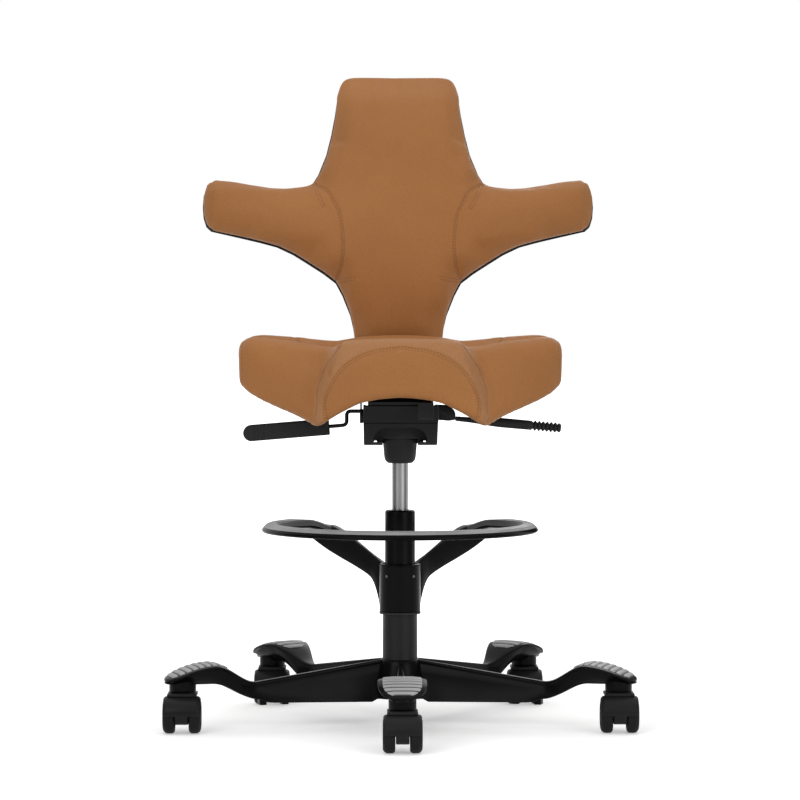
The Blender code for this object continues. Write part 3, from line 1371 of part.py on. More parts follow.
def make_depth_lever(tilt):
    """A small flat lever that hangs from the carrier's front edge and frees the seat's slide."""
    half = CARRIER_HALF_WIDTH
    front = CARRIER_FRONT - GAP
    high = CARRIER_HEIGHT + CARRIER_THICKNESS
    low = (half - DEPTH_LEVER_WIDTH, front - DEPTH_LEVER_THICKNESS, high - DEPTH_LEVER_DROP)
    hinge = pivot("depth_lever_hinge", (half, front - DEPTH_LEVER_THICKNESS / 2, high), (1, 0, 0), tilt)
    lever = block("depth_lever", low, (half, front, high))
    dress(bevelled(lever, DEPTH_LEVER_THICKNESS / 4), MATTE_BLACK, hinge)


# Saddle seat
# Stations from the middle out. Shares: place of the top edge and of the low edge as shares of the half
# width; front, low lip, upper front and rear places as shares of the depth behind the nose; heights of the
# low lip, of the front crest and of the rear crest as shares of the drop from the seat's top to the tip.
SEAT_STATION_SHARES = (
    (0.000, 0.000, 0.000, 0.020, 0.085, 1.000, 0.323, 1.000, 0.985),
    (0.220, 0.262, 0.004, 0.021, 0.088, 0.978, 0.235, 0.998, 0.980),
    (0.350, 0.458, 0.016, 0.026, 0.100, 0.930, 0.055, 0.985, 0.965),
    (0.385, 0.512, 0.040, 0.040, 0.125, 0.905, 0.000, 0.975, 0.958),
    (0.430, 0.545, 0.115, 0.075, 0.215, 0.905, 0.030, 0.965, 0.954),
    (0.600, 0.664, 0.165, 0.150, 0.265, 0.930, 0.130, 0.945, 0.962),
    (0.780, 0.805, 0.225, 0.220, 0.325, 0.955, 0.230, 0.920, 0.974),
    (0.935, 0.928, 0.285, 0.290, 0.385, 0.975, 0.345, 0.885, 0.980),
    (1.000, 0.990, 0.330, 0.350, 0.420, 0.900, 0.455, 0.850, 0.915),
)


def seat_section(row, side):
    """One closed section of the cushion, from its front lip over the top to the rear and back below."""
    top_x, low_x, front, lip, crest, crest_high, lip_high, rear, rear_high = row
    depth = SEAT_REAR - SEAT_NOSE
    drop = SEAT_TOP - SEAT_TIP_HEIGHT
    y_front, y_lip, y_crest = (SEAT_NOSE + depth * share for share in (front, lip, crest))
    y_rear = SEAT_NOSE + depth * rear
    z_crest = SEAT_TIP_HEIGHT + drop * crest_high
    z_lip = SEAT_TIP_HEIGHT + drop * lip_high
    z_rear = SEAT_TIP_HEIGHT + drop * rear_high
    z_dish = min(z_crest, z_rear) - SEAT_DISH
    edge = drop / 8
    base = max(SEAT_BASE, z_lip + edge / 4)
    points = [
        (y_lip, z_lip),
        (blend(y_lip, y_front, 0.6), blend(z_lip, z_crest, 0.25)),
        (y_front, blend(z_lip, z_crest, 0.62)),
        (blend(y_front, y_crest, 0.25), z_crest - edge * 0.6),
        (y_crest, z_crest),
        (blend(y_crest, y_rear, 0.38), z_dish),
        (blend(y_crest, y_rear, 0.68), z_dish + SEAT_DISH / 4),
        (y_rear - edge * 2.2, z_rear),
        (y_rear - edge * 0.5, z_rear - edge * 0.7),
        (y_rear, blend(base, z_rear, 0.45)),
        (y_rear - edge, base),
        (y_lip + edge * 3.2, base),
        (y_lip + edge * 2.2, base),
        (y_lip + edge * 1.5, z_lip + edge * 0.2),
    ]
    section = []
    for y, z in rounded(points, closed=True):
        if y > y_lip + edge * 2:
            z = max(z, base)
        share = min(1.0, max(0.0, (z_crest - z) / (z_crest - SEAT_TIP_HEIGHT)))
        behind = min(1.0, max(0.0, (y - y_front) / (depth / 3)))
        x = SEAT_HALF_WIDTH * blend(top_x, low_x, share * (1 - behind))
        section.append((side * x, y, z))
    return section


def make_seat(tilt):
    slide = pivot("seat_depth", (0, 0, SEAT_BASE), (0, 1, 0), tilt)
    stations = rounded(SEAT_STATION_SHARES)
    sections = [seat_section(row, -1) for row in reversed(stations[1:])]
    sections += [seat_section(row, 1) for row in stations]
    dress(loft("seat_cushion", sections, 80), LEATHER, slide)
    make_seat_shell(slide)


def seat_shell_outline():
    """Plan of the hard shell, inside the cushion's edge all round."""
    depth = SEAT_REAR - SEAT_NOSE
    right = [(0, SEAT_NOSE + SHELL_MARGIN * 2)]
    for row in SEAT_STATION_SHARES[1:-1]:
        x = row[0] * SEAT_HALF_WIDTH * (1 - SHELL_MARGIN / SEAT_HALF_WIDTH)
        right.append((x, SEAT_NOSE + depth * row[3] + SHELL_MARGIN * 2))
    for row in reversed(SEAT_STATION_SHARES[1:-1]):
        x = row[0] * SEAT_HALF_WIDTH * (1 - SHELL_MARGIN / SEAT_HALF_WIDTH)
        right.append((x, SEAT_NOSE + depth * row[7] - SHELL_MARGIN * 1.2))
    right.append((0, SEAT_REAR - SHELL_MARGIN * 1.2))
    return right + [(-x, y) for x, y in reversed(right[1:-1])]


def make_seat_shell(slide):
    """The moulded shell under the cushion, with two runners that slide on the carrier."""
    top = SEAT_BASE - GAP * 2
    low = SHELL_BOTTOM
    middle = (0, 0, (top + low) / 2)
    shell = plate("seat_shell", seat_shell_outline(), SHELL_THICKNESS, (1, 0, 0), (0, 1, 0), middle)
    bevelled(shell, SHELL_THICKNESS / 4, 1)
    runner_low = CARRIER_HEIGHT + CARRIER_THICKNESS + GAP
    for side in (-1, 1):
        middle_x = side * RUNNER_SPACING / 2
        start = (CARRIER_FRONT + CARRIER_REAR - RUNNER_LENGTH) / 2
        corner = (middle_x - RUNNER_WIDTH / 2, start, runner_low)
        far = (middle_x + RUNNER_WIDTH / 2, start + RUNNER_LENGTH, low + SHELL_THICKNESS / 2)
        combine(shell, block("runner", corner, far), "UNION")
    dress(shell, MATTE_BLACK, slide)


# Backrest
# Outline of the right half from the top down: shares of the half width and of the height.
BACK_OUTLINE_SHARES = (
    (0.254, 1.000), (0.281, 0.989), (0.290, 0.978), (0.309, 0.940), (0.323, 0.865), (0.342, 0.791),
    (0.367, 0.718), (0.408, 0.645), (0.435, 0.615), (0.470, 0.603), (0.510, 0.600), (0.579, 0.596),
    (0.662, 0.599), (0.760, 0.608), (0.860, 0.618), (0.944, 0.622), (0.978, 0.612), (0.996, 0.575),
    (1.000, 0.535), (0.995, 0.495), (0.980, 0.463), (0.955, 0.447), (0.881, 0.435), (0.795, 0.421),
    (0.706, 0.406), (0.617, 0.389), (0.533, 0.361), (0.454, 0.326), (0.381, 0.293), (0.318, 0.259),
    (0.284, 0.214), (0.262, 0.175), (0.244, 0.143), (0.230, 0.100), (0.220, 0.054), (0.212, 0.020),
    (0.190, 0.000),
)
# The back's bow seen from the side: share of the height, and share of it by which the front lies behind
# the lumbar point.
BACK_BOW_SHARES = ((0.00, 0.012), (0.16, 0.001), (0.29, 0.000), (0.40, 0.010), (0.52, 0.035), (0.64, 0.072),
                   (0.76, 0.122), (0.88, 0.183), (1.00, 0.257))


def back_outline(drop=0.0):
    right = []
    for x, z in BACK_OUTLINE_SHARES:
        lowered = drop if z < 0.6 else 0.0
        right.append((x * BACK_HALF_WIDTH, BACK_BOTTOM + z * BACK_HEIGHT - lowered))
    return right + [(-x, z) for x, z in reversed(right)]


def bow(height):
    """How far behind the lumbar point the back's face lies at a height."""
    share = (height - BACK_BOTTOM) / BACK_HEIGHT
    pairs = BACK_BOW_SHARES
    share = min(1.0, max(0.0, share))
    i = max(k for k in range(len(pairs) - 1) if pairs[k][0] <= share)
    (a, low), (b, high) = pairs[i], pairs[i + 1]
    before = pairs[max(0, i - 1)]
    after = pairs[min(len(pairs) - 1, i + 2)]
    t = (share - a) / (b - a)
    slope_low = (high - before[1]) / (b - before[0]) * (b - a)
    slope_high = (after[1] - low) / (after[0] - a) * (b - a)
    value = (2 * t ** 3 - 3 * t ** 2 + 1) * low + (t ** 3 - 2 * t ** 2 + t) * slope_low
    value += (-2 * t ** 3 + 3 * t ** 2) * high + (t ** 3 - t ** 2) * slope_high
    return value * BACK_HEIGHT


def back_depth(x, z):
    """Depth of the shell's front face: bowed up the middle, with the wings swept back."""
    return LUMBAR_Y + BACK_THICKNESS + bow(z) + BACK_WRAP * x * x


def edge_distance(point, outline):
    """Distance of a flat point to the nearest side of the outline."""
    best = BACK_HALF_WIDTH
    for i, start in enumerate(outline):
        a, b = Vector(start), Vector(outline[(i + 1) % len(outline)])
        side = b - a
        along = min(1.0, max(0.0, (point - a).dot(side) / side.length_squared))
        best = min(best, (point - a - side * along).length)
    return best


def panel(name, outline, front, back, insets):
    """A curved panel over a flat outline; two functions of x, z and edge distance give its depths."""
    bm = bmesh.new()
    bm.faces.new([bm.verts.new((x, 0, z)) for x, z in outline])
    done = 0.0
    for inset in insets:
        inner = max(bm.faces, key=lambda face: face.calc_area())
        bmesh.ops.inset_region(bm, faces=[inner], thickness=inset - done, use_even_offset=True)
        done = inset
    low, high = min(z for _, z in outline), max(z for _, z in outline)
    half = max(x for x, _ in outline)
    cuts = [((0, 0, low + BACK_GRID * i), (0, 0, 1)) for i in range(1, int((high - low) / BACK_GRID) + 1)]
    count = int(half / BACK_GRID)
    cuts += [((BACK_GRID * i, 0, 0), (1, 0, 0)) for i in range(-count, count + 1)]
    for place, direction in cuts:
        inner = [face for face in bm.faces if len(face.verts) > 4 or face.tag]
        for face in inner:
            face.tag = True
        parts = inner + list({edge for face in inner for edge in face.edges})
        parts += list({vert for face in inner for vert in face.verts})
        bmesh.ops.bisect_plane(bm, geom=parts, dist=MERGE, plane_co=place, plane_no=direction)
    bmesh.ops.triangulate(bm, faces=bm.faces, quad_method="BEAUTY", ngon_method="BEAUTY")
    flat = [(vert, Vector((vert.co.x, vert.co.z))) for vert in bm.verts]
    depths = [(vert, co, edge_distance(co, outline)) for vert, co in flat]
    faces = list(bm.faces)
    copy = bmesh.ops.duplicate(bm, geom=list(bm.verts) + list(bm.edges) + faces)
    twin = copy["vert_map"]
    rim = [edge for edge in bm.edges if len(edge.link_faces) == 1 and edge.verts[0] in twin]
    originals = {vert for vert, _, _ in depths}
    rim = [edge for edge in rim if edge.verts[0] in originals]
    for edge in rim:
        a, b = edge.verts
        bm.faces.new((a, b, twin[b], twin[a]))
    for vert, co, distance in depths:
        twin[vert].co = (co.x, back(co.x, co.y, distance), co.y)
        vert.co = (co.x, front(co.x, co.y, distance), co.y)
    return object_from(bm, name, 50)


def cushion_front(x, z, distance):
    """Front of the back cushion: a quarter round up from its rim to the full thickness."""
    share = min(1.0, distance / BACK_CROWN_WIDTH)
    rise = BACK_RIM + (BACK_THICKNESS - BACK_RIM) * math.sqrt(1 - (1 - share) ** 2)
    return back_depth(x, z) - BACK_FIT - rise


def make_back(tilt):
    slide = pivot("back_height", (0, BAR_BACK, SLIDER_BOTTOM), parent=tilt)
    cushion = panel(
        "back_cushion",
        back_outline(),
        cushion_front,
        lambda x, z, distance: back_depth(x, z) - BACK_FIT,
        BACK_INSETS,
    )
    dress(cushion, LEATHER, slide)
    shell = panel(
        "back_shell",
        back_outline(BACK_SHELL_LIP),
        lambda x, z, distance: back_depth(x, z),
        lambda x, z, distance: back_depth(x, z) + BACK_SHELL_THICKNESS * min(1.0, 0.6 + distance / BACK_RIM),
        BACK_INSETS[:1],
    )
    dress(shell, MATTE_BLACK, slide)
    make_back_bar(tilt)
    make_slider(slide)


def bar_path():
    """Middle line of the bar as (y, height): back under the seat, round the bend and straight up."""
    low = CARRIER_HEIGHT + CARRIER_THICKNESS + GAP + BAR_THICKNESS / 2
    back = BAR_BACK - BAR_THICKNESS / 2
    points = [(BAR_FRONT, low)]
    for i in range(BAR_BEND_STEPS + 1):
        angle = math.pi / 2 * i / BAR_BEND_STEPS
        along = BAR_BEND_RADIUS * (1 - math.sin(angle))
        points.append((back - along, low + BAR_BEND_RADIUS * (1 - math.cos(angle))))
    points.append((back, BAR_TOP))
    return points


def make_back_bar(tilt):
    path = [Vector(point) for point in bar_path()]
    half = BAR_THICKNESS / 2
    outer, inner = [], []
    for i, point in enumerate(path):
        before, after = path[max(0, i - 1)], path[min(len(path) - 1, i + 1)]
        along = (after - before).normalized()
        side = Vector((along.y, -along.x))
        outer.append(tuple(point + side * half))
        inner.append(tuple(point - side * half))
    bar = plate("back_bar", outer + inner[::-1], BAR_WIDTH, (0, 1, 0), (0, 0, 1))
    bevelled(bar, BAR_THICKNESS / 4, 1, 60)
    dress(bar, BLACK_PAINT, tilt)


def make_slider(slide):
    """The sleeve that rides on the bar, its fork to the shell, and the knob that clamps it."""
    half = SLIDER_WIDTH / 2
    top = SLIDER_BOTTOM + SLIDER_HEIGHT
    front = BAR_BACK - BAR_THICKNESS - GAP - SLIDER_WALL
    rear = BAR_BACK + GAP + SLIDER_WALL
    body = block("back_slider", (-half, front, SLIDER_BOTTOM), (half, rear, top))
    gap_low = (-BAR_WIDTH / 2 - GAP, BAR_BACK - BAR_THICKNESS - GAP, SLIDER_BOTTOM - OVERRUN)
    gap_high = (BAR_WIDTH / 2 + GAP, BAR_BACK + GAP, top + OVERRUN)
    combine(body, block("bar_space", gap_low, gap_high))
    outline = []
    for i in range(FORK_STEPS + 1):
        z = blend(SLIDER_BOTTOM, top, i / FORK_STEPS)
        outline.append((back_depth(half, z) + BACK_SHELL_THICKNESS + GAP * 2, z))
    outline += [(front + SLIDER_WALL / 2, top), (front + SLIDER_WALL / 2, SLIDER_BOTTOM)]
    combine(body, plate("fork", outline, FORK_WIDTH, (0, 1, 0), (0, 0, 1)), "UNION")
    hole_start = (0, BAR_BACK + GAP / 2, KNOB_HEIGHT)
    combine(body, rod("knob_hole", KNOB_STEM_RADIUS + GAP, hole_start, (0, rear + OVERRUN, KNOB_HEIGHT)))
    dress(body, MATTE_BLACK, slide)
    hinge = pivot("back_knob_turn", (0, KNOB_REAR, KNOB_HEIGHT), (0, 1, 0), slide)
    chamfer = KNOB_DEPTH / 6
    start = KNOB_REAR - (BAR_BACK + GAP * 2)
    knob = turned(
        "back_knob",
        [
            (0, 0),
            (KNOB_RADIUS - chamfer, 0),
            (KNOB_RADIUS, -chamfer),
            (KNOB_RADIUS, -KNOB_DEPTH + chamfer),
            (KNOB_RADIUS - chamfer, -KNOB_DEPTH),
            (KNOB_STEM_RADIUS * 2, -KNOB_DEPTH),
            (KNOB_STEM_RADIUS * 2, -(KNOB_REAR - rear - GAP)),
            (KNOB_STEM_RADIUS, -(KNOB_REAR - rear - GAP)),
            (KNOB_STEM_RADIUS, -start),
            (0, -start),
        ],
        AXLE_STEPS,
    )
    turn = Matrix.Rotation(math.radians(-90), 4, "X")
    knob.matrix_world = Matrix.Translation((0, KNOB_REAR, KNOB_HEIGHT)) @ turn
    dress(knob, MATTE_BLACK, hinge)


make_star_base()
make_step_pads()
make_castors()
make_column()
LIFT = make_gas_spring()
make_footring()
TILT = make_mechanism(LIFT)
make_height_lever(LIFT)
make_tension_handle(LIFT)
make_depth_lever(TILT)
make_seat(TILT)
make_back(TILT)
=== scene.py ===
"""Looks of the saddle chair: leather, moulded plastics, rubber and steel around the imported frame."""
import math

import bmesh
import bpy
from mathutils import Matrix, Vector
from mathutils.bvhtree import BVHTree
from mathutils.kdtree import KDTree


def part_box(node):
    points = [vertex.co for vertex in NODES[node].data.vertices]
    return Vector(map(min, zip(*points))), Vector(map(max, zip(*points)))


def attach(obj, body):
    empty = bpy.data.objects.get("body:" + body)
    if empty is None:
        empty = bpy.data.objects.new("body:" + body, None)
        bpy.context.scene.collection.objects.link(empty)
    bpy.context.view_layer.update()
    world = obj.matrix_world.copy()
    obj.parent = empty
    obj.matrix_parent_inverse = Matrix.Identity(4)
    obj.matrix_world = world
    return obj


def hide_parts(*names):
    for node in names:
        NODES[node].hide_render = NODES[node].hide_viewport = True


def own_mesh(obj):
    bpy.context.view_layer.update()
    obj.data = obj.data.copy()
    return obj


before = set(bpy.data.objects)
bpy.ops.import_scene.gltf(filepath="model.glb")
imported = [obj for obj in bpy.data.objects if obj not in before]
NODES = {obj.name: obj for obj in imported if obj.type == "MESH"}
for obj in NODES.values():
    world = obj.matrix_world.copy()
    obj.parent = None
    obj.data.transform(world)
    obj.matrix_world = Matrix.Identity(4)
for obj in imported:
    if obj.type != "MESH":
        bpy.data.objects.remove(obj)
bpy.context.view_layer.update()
MM = 0.001
CASTORS = range(1, 6)
SIDES = ((-1, "left"), (1, "right"))
WHITE = (1, 1, 1, 1)


def clamp(value):
    return min(1.0, max(0.0, value))


def blend(low, high, share):
    return low + (high - low) * share


def ease(share):
    return share * share * (3 - 2 * share)


# Materials
DRIFT_SIZE = 0.12
GLOSS_SPREAD = 0.06
EDGE_WEAR = 0.35
TAN = (0.375, 0.156, 0.048)
# Paler leather of the band round the seat's nose, made paler still as painted highlight on its rounded
# crest.
PALE_TAN = (0.386, 0.18, 0.073)


def new_material(name):
    """A material with its node tree and its Principled BSDF."""
    material = bpy.data.materials.new(name)
    material.use_nodes = True
    return material, material.node_tree, material.node_tree.nodes["Principled BSDF"]


def wired(made, **inputs):
    """Sets inputs of a node to values or links them to sockets; a leading underscore names a property."""
    for name, value in inputs.items():
        if name.startswith("_"):
            setattr(made, name[1:], value)
            continue
        socket = made.inputs[name.replace("_", " ")]
        if isinstance(value, bpy.types.NodeSocket):
            made.id_data.links.new(value, socket)
        else:
            socket.default_value = value
    return made


def node(tree, kind, **inputs):
    """A new shader node, with inputs and properties as in wired."""
    return wired(tree.nodes.new("ShaderNode" + kind), **inputs)


def object_place(tree):
    return node(tree, "TexCoord").outputs["Object"]


def noise(tree, scale, detail, **more):
    return node(tree, "TexNoise", Scale=scale, Detail=detail, **more).outputs["Fac"]


def mixed(tree, factor, a, b, **more):
    return node(tree, "Mix", _data_type="RGBA", Factor=factor, A=a, B=b, **more).outputs["Result"]


def bump(tree, height, strength, distance, **more):
    return node(tree, "Bump", Height=height, Strength=strength, Distance=distance, **more).outputs["Normal"]


def ramp(tree, source, low, high, places=(0.35, 0.65)):
    """A two-colour ramp driven by a noise or voronoi output."""
    made = node(tree, "ValToRGB", Fac=source)
    for element, place, colour in zip(made.color_ramp.elements, places, (low, high)):
        element.position = place
        element.color = (*colour, 1)
    return made.outputs["Color"]


def scaled(colour, factor):
    return [min(1.0, c * factor) for c in colour]


def grained(name, colour, roughness, grain_size, grain_depth, spread=0.08, metallic=0, specular=0.5):
    """A moulded, painted or rubber surface: fine grain, slow colour drift, uneven gloss and rubbed edges."""
    material, tree, bsdf = new_material(name)
    place = object_place(tree)
    drift = noise(tree, 1 / DRIFT_SIZE, 4, Vector=place)
    grain = noise(tree, 1 / grain_size, 3, Vector=place, Roughness=0.6)
    tone = ramp(tree, drift, scaled(colour, 1 - spread), scaled(colour, 1 + spread))
    edge = node(tree, "NewGeometry").outputs["Pointiness"]
    rubbed = ramp(tree, edge, (0, 0, 0), (1, 1, 1), (0.53, 0.6))
    lightened = [min(1.0, c * (1 + EDGE_WEAR) + 0.004) for c in colour]
    gloss = ramp(tree, drift, [roughness - GLOSS_SPREAD] * 3, [roughness + GLOSS_SPREAD] * 3)
    wired(bsdf, Metallic=metallic, Specular_IOR_Level=specular, Roughness=gloss,
          Base_Color=mixed(tree, rubbed, tone, (*lightened, 1)), Normal=bump(tree, grain, 0.6, grain_depth))
    return material


def shaded(material, attribute, colour):
    """Lets the colour give way to another one where a painted attribute is 0."""
    tree = material.node_tree
    bsdf = tree.nodes["Principled BSDF"]
    plain = bsdf.inputs["Base Color"].links[0].from_socket
    paint = node(tree, "Attribute", _attribute_name=attribute).outputs["Fac"]
    wired(bsdf, Base_Color=mixed(tree, paint, (*colour, 1), plain))
    return material


def leather(name, colour):
    """Smooth grained leather: pebbles of a millimetre or so, pores, soft creases and a slow colour drift."""
    material, tree, bsdf = new_material(name)
    place = object_place(tree)
    pebble = node(tree, "TexVoronoi", _feature="SMOOTH_F1", Vector=place, Scale=620, Smoothness=0.7)
    pebble = pebble.outputs["Distance"]
    pores = noise(tree, 2400, 2, Vector=place)
    crease = noise(tree, 42, 6, Vector=place, Roughness=0.62, Distortion=0.6)
    speckle = noise(tree, 700, 3, Vector=place, Roughness=0.7)
    drift = noise(tree, 7, 3, Vector=place)
    tone = ramp(tree, drift, scaled(colour, 0.94), scaled(colour, 1.06), (0.3, 0.7))
    valley = ramp(tree, pebble, (1, 1, 1), (0.9, 0.885, 0.87), (0.35, 0.85))
    # The band round the nose: paler leather, with painted highlight for the light on its rounded crest.
    pale = ramp(tree, speckle, scaled(PALE_TAN, 0.86), scaled(PALE_TAN, 1.12))
    band = node(tree, "Attribute", _attribute_name="band").outputs["Fac"]
    skin = mixed(tree, 1, tone, valley, _blend_type="MULTIPLY")
    first = bump(tree, pebble, 0.32, 0.00035, _invert=True)
    second = bump(tree, crease, 0.16, 0.001, Normal=first)
    wired(bsdf, Base_Color=mixed(tree, band, skin, pale), Specular_IOR_Level=0.2, Sheen_Weight=0.03,
          Sheen_Roughness=0.5, Sheen_Tint=(1, 0.86, 0.72, 1),
          Roughness=ramp(tree, crease, [0.5] * 3, [0.62] * 3, (0.3, 0.7)),
          Normal=bump(tree, pores, 0.12, 0.0001, Normal=second))
    return material


def brushed(name, colour, roughness):
    """Turned or drawn steel with fine lines round it."""
    material = grained(name, colour, roughness, 0.004, 0.00005, 0.05, 1)
    tree = material.node_tree
    stretch = node(tree, "Mapping", Vector=object_place(tree), Scale=(60, 60, 2600))
    lines = noise(tree, 1, 2, Vector=stretch.outputs["Vector"])
    wired(tree.nodes["Principled BSDF"], Normal=bump(tree, lines, 0.25, 0.00008))
    return material


def grey(name, red, blue, roughness, grain_size, grain_depth, spread, specular):
    """A black or grey that differs in blue alone."""
    return grained(name, (red, red, blue), roughness, grain_size, grain_depth, spread, specular=specular)


LEATHER = leather("tan_leather", TAN)
SEAM_LEATHER = grained("tan_seam", (0.255, 0.106, 0.034), 0.75, 0.0006, 0.0001, 0.1)
THREAD = grained("tan_thread", (0.115, 0.047, 0.015), 0.7, 0.0006, 0.0002, 0.1)
CASTOR_BLACK = grey("castor_plastic", 0.011, 0.0112, 0.46, 0.001, 0.00008, 0.12, 0.12)
GLOSS_BLACK = grey("gloss_black_plastic", 0.0028, 0.0029, 0.25, 0.0012, 0.00003, 0.1, 0.06)
ARM_BLACK = grey("ring_arm_plastic", 0.005, 0.0051, 0.33, 0.0012, 0.00003, 0.1, 0.14)
BASE_BLACK = grey("base_plastic", 0.0034, 0.0035, 0.3, 0.0012, 0.00004, 0.1, 0.07)
MATTE_BLACK = grey("matte_black_plastic", 0.0225, 0.0227, 0.52, 0.0009, 0.0001, 0.12, 0.12)
TYRE_BLACK = grey("castor_rubber", 0.0115, 0.0115, 0.62, 0.0012, 0.00008, 0.15, 0.12)
BLACK_STEEL = grey("black_painted_steel", 0.0125, 0.0127, 0.42, 0.001, 0.00006, 0.1, 0.14)
# Grey rubber on the rib tops, with painted shade, near black, in the grooves between the ribs.
STEP_RUBBER = shaded(grey("grey_step_rubber", 0.365, 0.365, 0.5, 0.0008, 0.0001, 0.08, 0.3),
                     "rib", (0.045, 0.045, 0.046))
# Dark rubber, pale grey where the painted attribute is 1: wear and painted highlight on the front arc of the
# ring.
RING_RUBBER = shaded(grey("dark_ring_rubber", 0.35, 0.352, 0.44, 0.0009, 0.00025, 0.25, 0.3),
                     "lightened", (0.04, 0.04, 0.041))
STEEL = brushed("bright_steel", (0.23, 0.23, 0.233), 0.3)
SCREW_STEEL = grained("dark_screw_steel", (0.1, 0.1, 0.1), 0.35, 0.0008, 0.00002, 0.1, 1)


# Tools for shapes
def linked(name, data):
    """A new object with this data, in the scene."""
    obj = bpy.data.objects.new(name, data)
    bpy.context.scene.collection.objects.link(obj)
    return obj


def dressed(data, material):
    data.materials.clear()
    data.materials.append(material)


def finished(obj, body, material, slot, replaced=None, smooth_deg=35):
    """Gives a piece its material and its body, and hides the node that it stands for; the slot is not used.
    """
    dressed(obj.data, material)
    obj.data.shade_smooth()
    if smooth_deg:
        obj.data.set_sharp_from_angle(angle=math.radians(smooth_deg))
    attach(obj, body)
    if replaced:
        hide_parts(replaced)


def mesh_object(name, bm):
    bmesh.ops.recalc_face_normals(bm, faces=bm.faces)
    mesh = bpy.data.meshes.new(name)
    bm.to_mesh(mesh)
    bm.free()
    return linked(name, mesh)


def evaluated_mesh(obj):
    graph = bpy.context.evaluated_depsgraph_get()
    return bpy.data.meshes.new_from_object(obj.evaluated_get(graph))


def applied(obj):
    """Replaces the object's mesh by what its modifiers make of it."""
    mesh = evaluated_mesh(obj)
    obj.modifiers.clear()
    old = obj.data
    obj.data = mesh
    bpy.data.meshes.remove(old)
    return obj


def modified(obj, kind, **settings):
    """Adds a modifier with its settings and applies it."""
    step = obj.modifiers.new(kind.lower(), kind)
    for name, value in settings.items():
        setattr(step, name, value)
    return applied(obj)


def smooth_line(points, count, closed=False):
    """Points evenly spread along a smooth curve through the given ones."""
    known = [Vector(point) for point in points]
    number = len(known)
    dense = []
    for i in range(number if closed else number - 1):
        places = [i + k if not closed else (i + k) % number for k in (-1, 0, 1, 2)]
        a, b, c, d = (known[min(number - 1, max(0, place))] for place in places)
        for k in range(24):
            t = k / 24
            bend = (2 * a - 5 * b + 4 * c - d) * t * t
            dense.append(0.5 * (2 * b + (c - a) * t + bend + (3 * b - a - 3 * c + d) * t ** 3))
    dense.append(known[0] if closed else known[-1])
    lengths = [0.0]
    for a, b in zip(dense, dense[1:]):
        lengths.append(lengths[-1] + (b - a).length)
    made, k = [], 0
    steps = count if closed else count - 1
    for i in range(count):
        goal = lengths[-1] * i / steps
        while k < len(lengths) - 2 and lengths[k + 1] < goal:
            k += 1
        span = lengths[k + 1] - lengths[k]
        made.append(dense[k].lerp(dense[k + 1], (goal - lengths[k]) / span if span else 0.0))
    return made


# Camera, floor and light
CAMERA_PLACE = Vector((-0.054, -5.2, 0.62))
CAMERA_AIM = Vector((0, 0, 0.468))
LENS = 162
SENSOR = 36
PICTURE = 800
FLOOR_HALF = 30
FLOOR_SHADE = 1.04
FLOOR_GLOW = 0.31
WORLD_STRENGTH = 0.5
LAMPS = (
    ("key", (-1.6, -2.8, 2), (0, 0, 0.45), (1.8, 1.8), 30),
    ("fill", (2, -2.8, 1.2), (0, 0, 0.45), (1.8, 1.8), 22),
    ("top", (0, 0.2, 3), (0, 0, 0.4), (2.2, 2.2), 16),
    ("rim", (0.8, 2.6, 1.8), (0, 0, 0.6), (1.4, 1.4), 14),
)
CARDS = (
    ("card_left", (-2.4, -0.4, 0.6), (3.2, 2.6), 90, 0.22),
    ("card_right", (2.4, -0.4, 0.6), (2.2, 2.6), -90, 0.4),
    ("card_back_right", (1.6, 2.6, 0.6), (1.6, 2.6), -32, 0.003),
    ("card_front", (0, -6.5, 1.6), (9, 5), 0, 0.003),
)


def facing(place, aim):
    """The turn that looks from a place towards an aim."""
    return (Vector(aim) - Vector(place)).to_track_quat("-Z", "Y")


def placed(name, data, place, aim):
    obj = linked(name, data)
    obj.location = place
    obj.rotation_euler = facing(place, aim).to_euler()
    return obj


def make_camera():
    camera = bpy.data.cameras.new("camera")
    camera.lens = LENS
    camera.sensor_width = SENSOR
    bpy.context.scene.camera = placed("camera", camera, CAMERA_PLACE, CAMERA_AIM)


def pixel_ray(across, down):
    """Start and direction of the sight line through a point of the photograph."""
    scale = SENSOR / LENS / PICTURE
    local = Vector(((across - PICTURE / 2) * scale, (PICTURE / 2 - down) * scale, -1))
    return CAMERA_PLACE, (facing(CAMERA_PLACE, CAMERA_AIM) @ local).normalized()


def joined(tree, made, *sources):
    """Links sources to the first inputs of a node."""
    for socket, source in zip(made.inputs, sources):
        tree.links.new(source, socket)
    return made.outputs[0]


def larger(tree, *sources):
    return joined(tree, node(tree, "Math", _operation="MAXIMUM"), *sources)


def camera_sees(tree, seen_shader, other_shader):
    """One shader for what the camera sees, also in gloss and through glass, another one for the rest."""
    path = node(tree, "LightPath").outputs
    clear = larger(tree, path["Is Transmission Ray"], path["Is Glossy Ray"])
    seen = larger(tree, path["Is Camera Ray"], clear)
    return joined(tree, node(tree, "MixShader"), seen, other_shader, seen_shader)


def grid(name, segments, size):
    bm = bmesh.new()
    bmesh.ops.create_grid(bm, x_segments=segments, y_segments=segments, size=size)
    return mesh_object(name, bm)


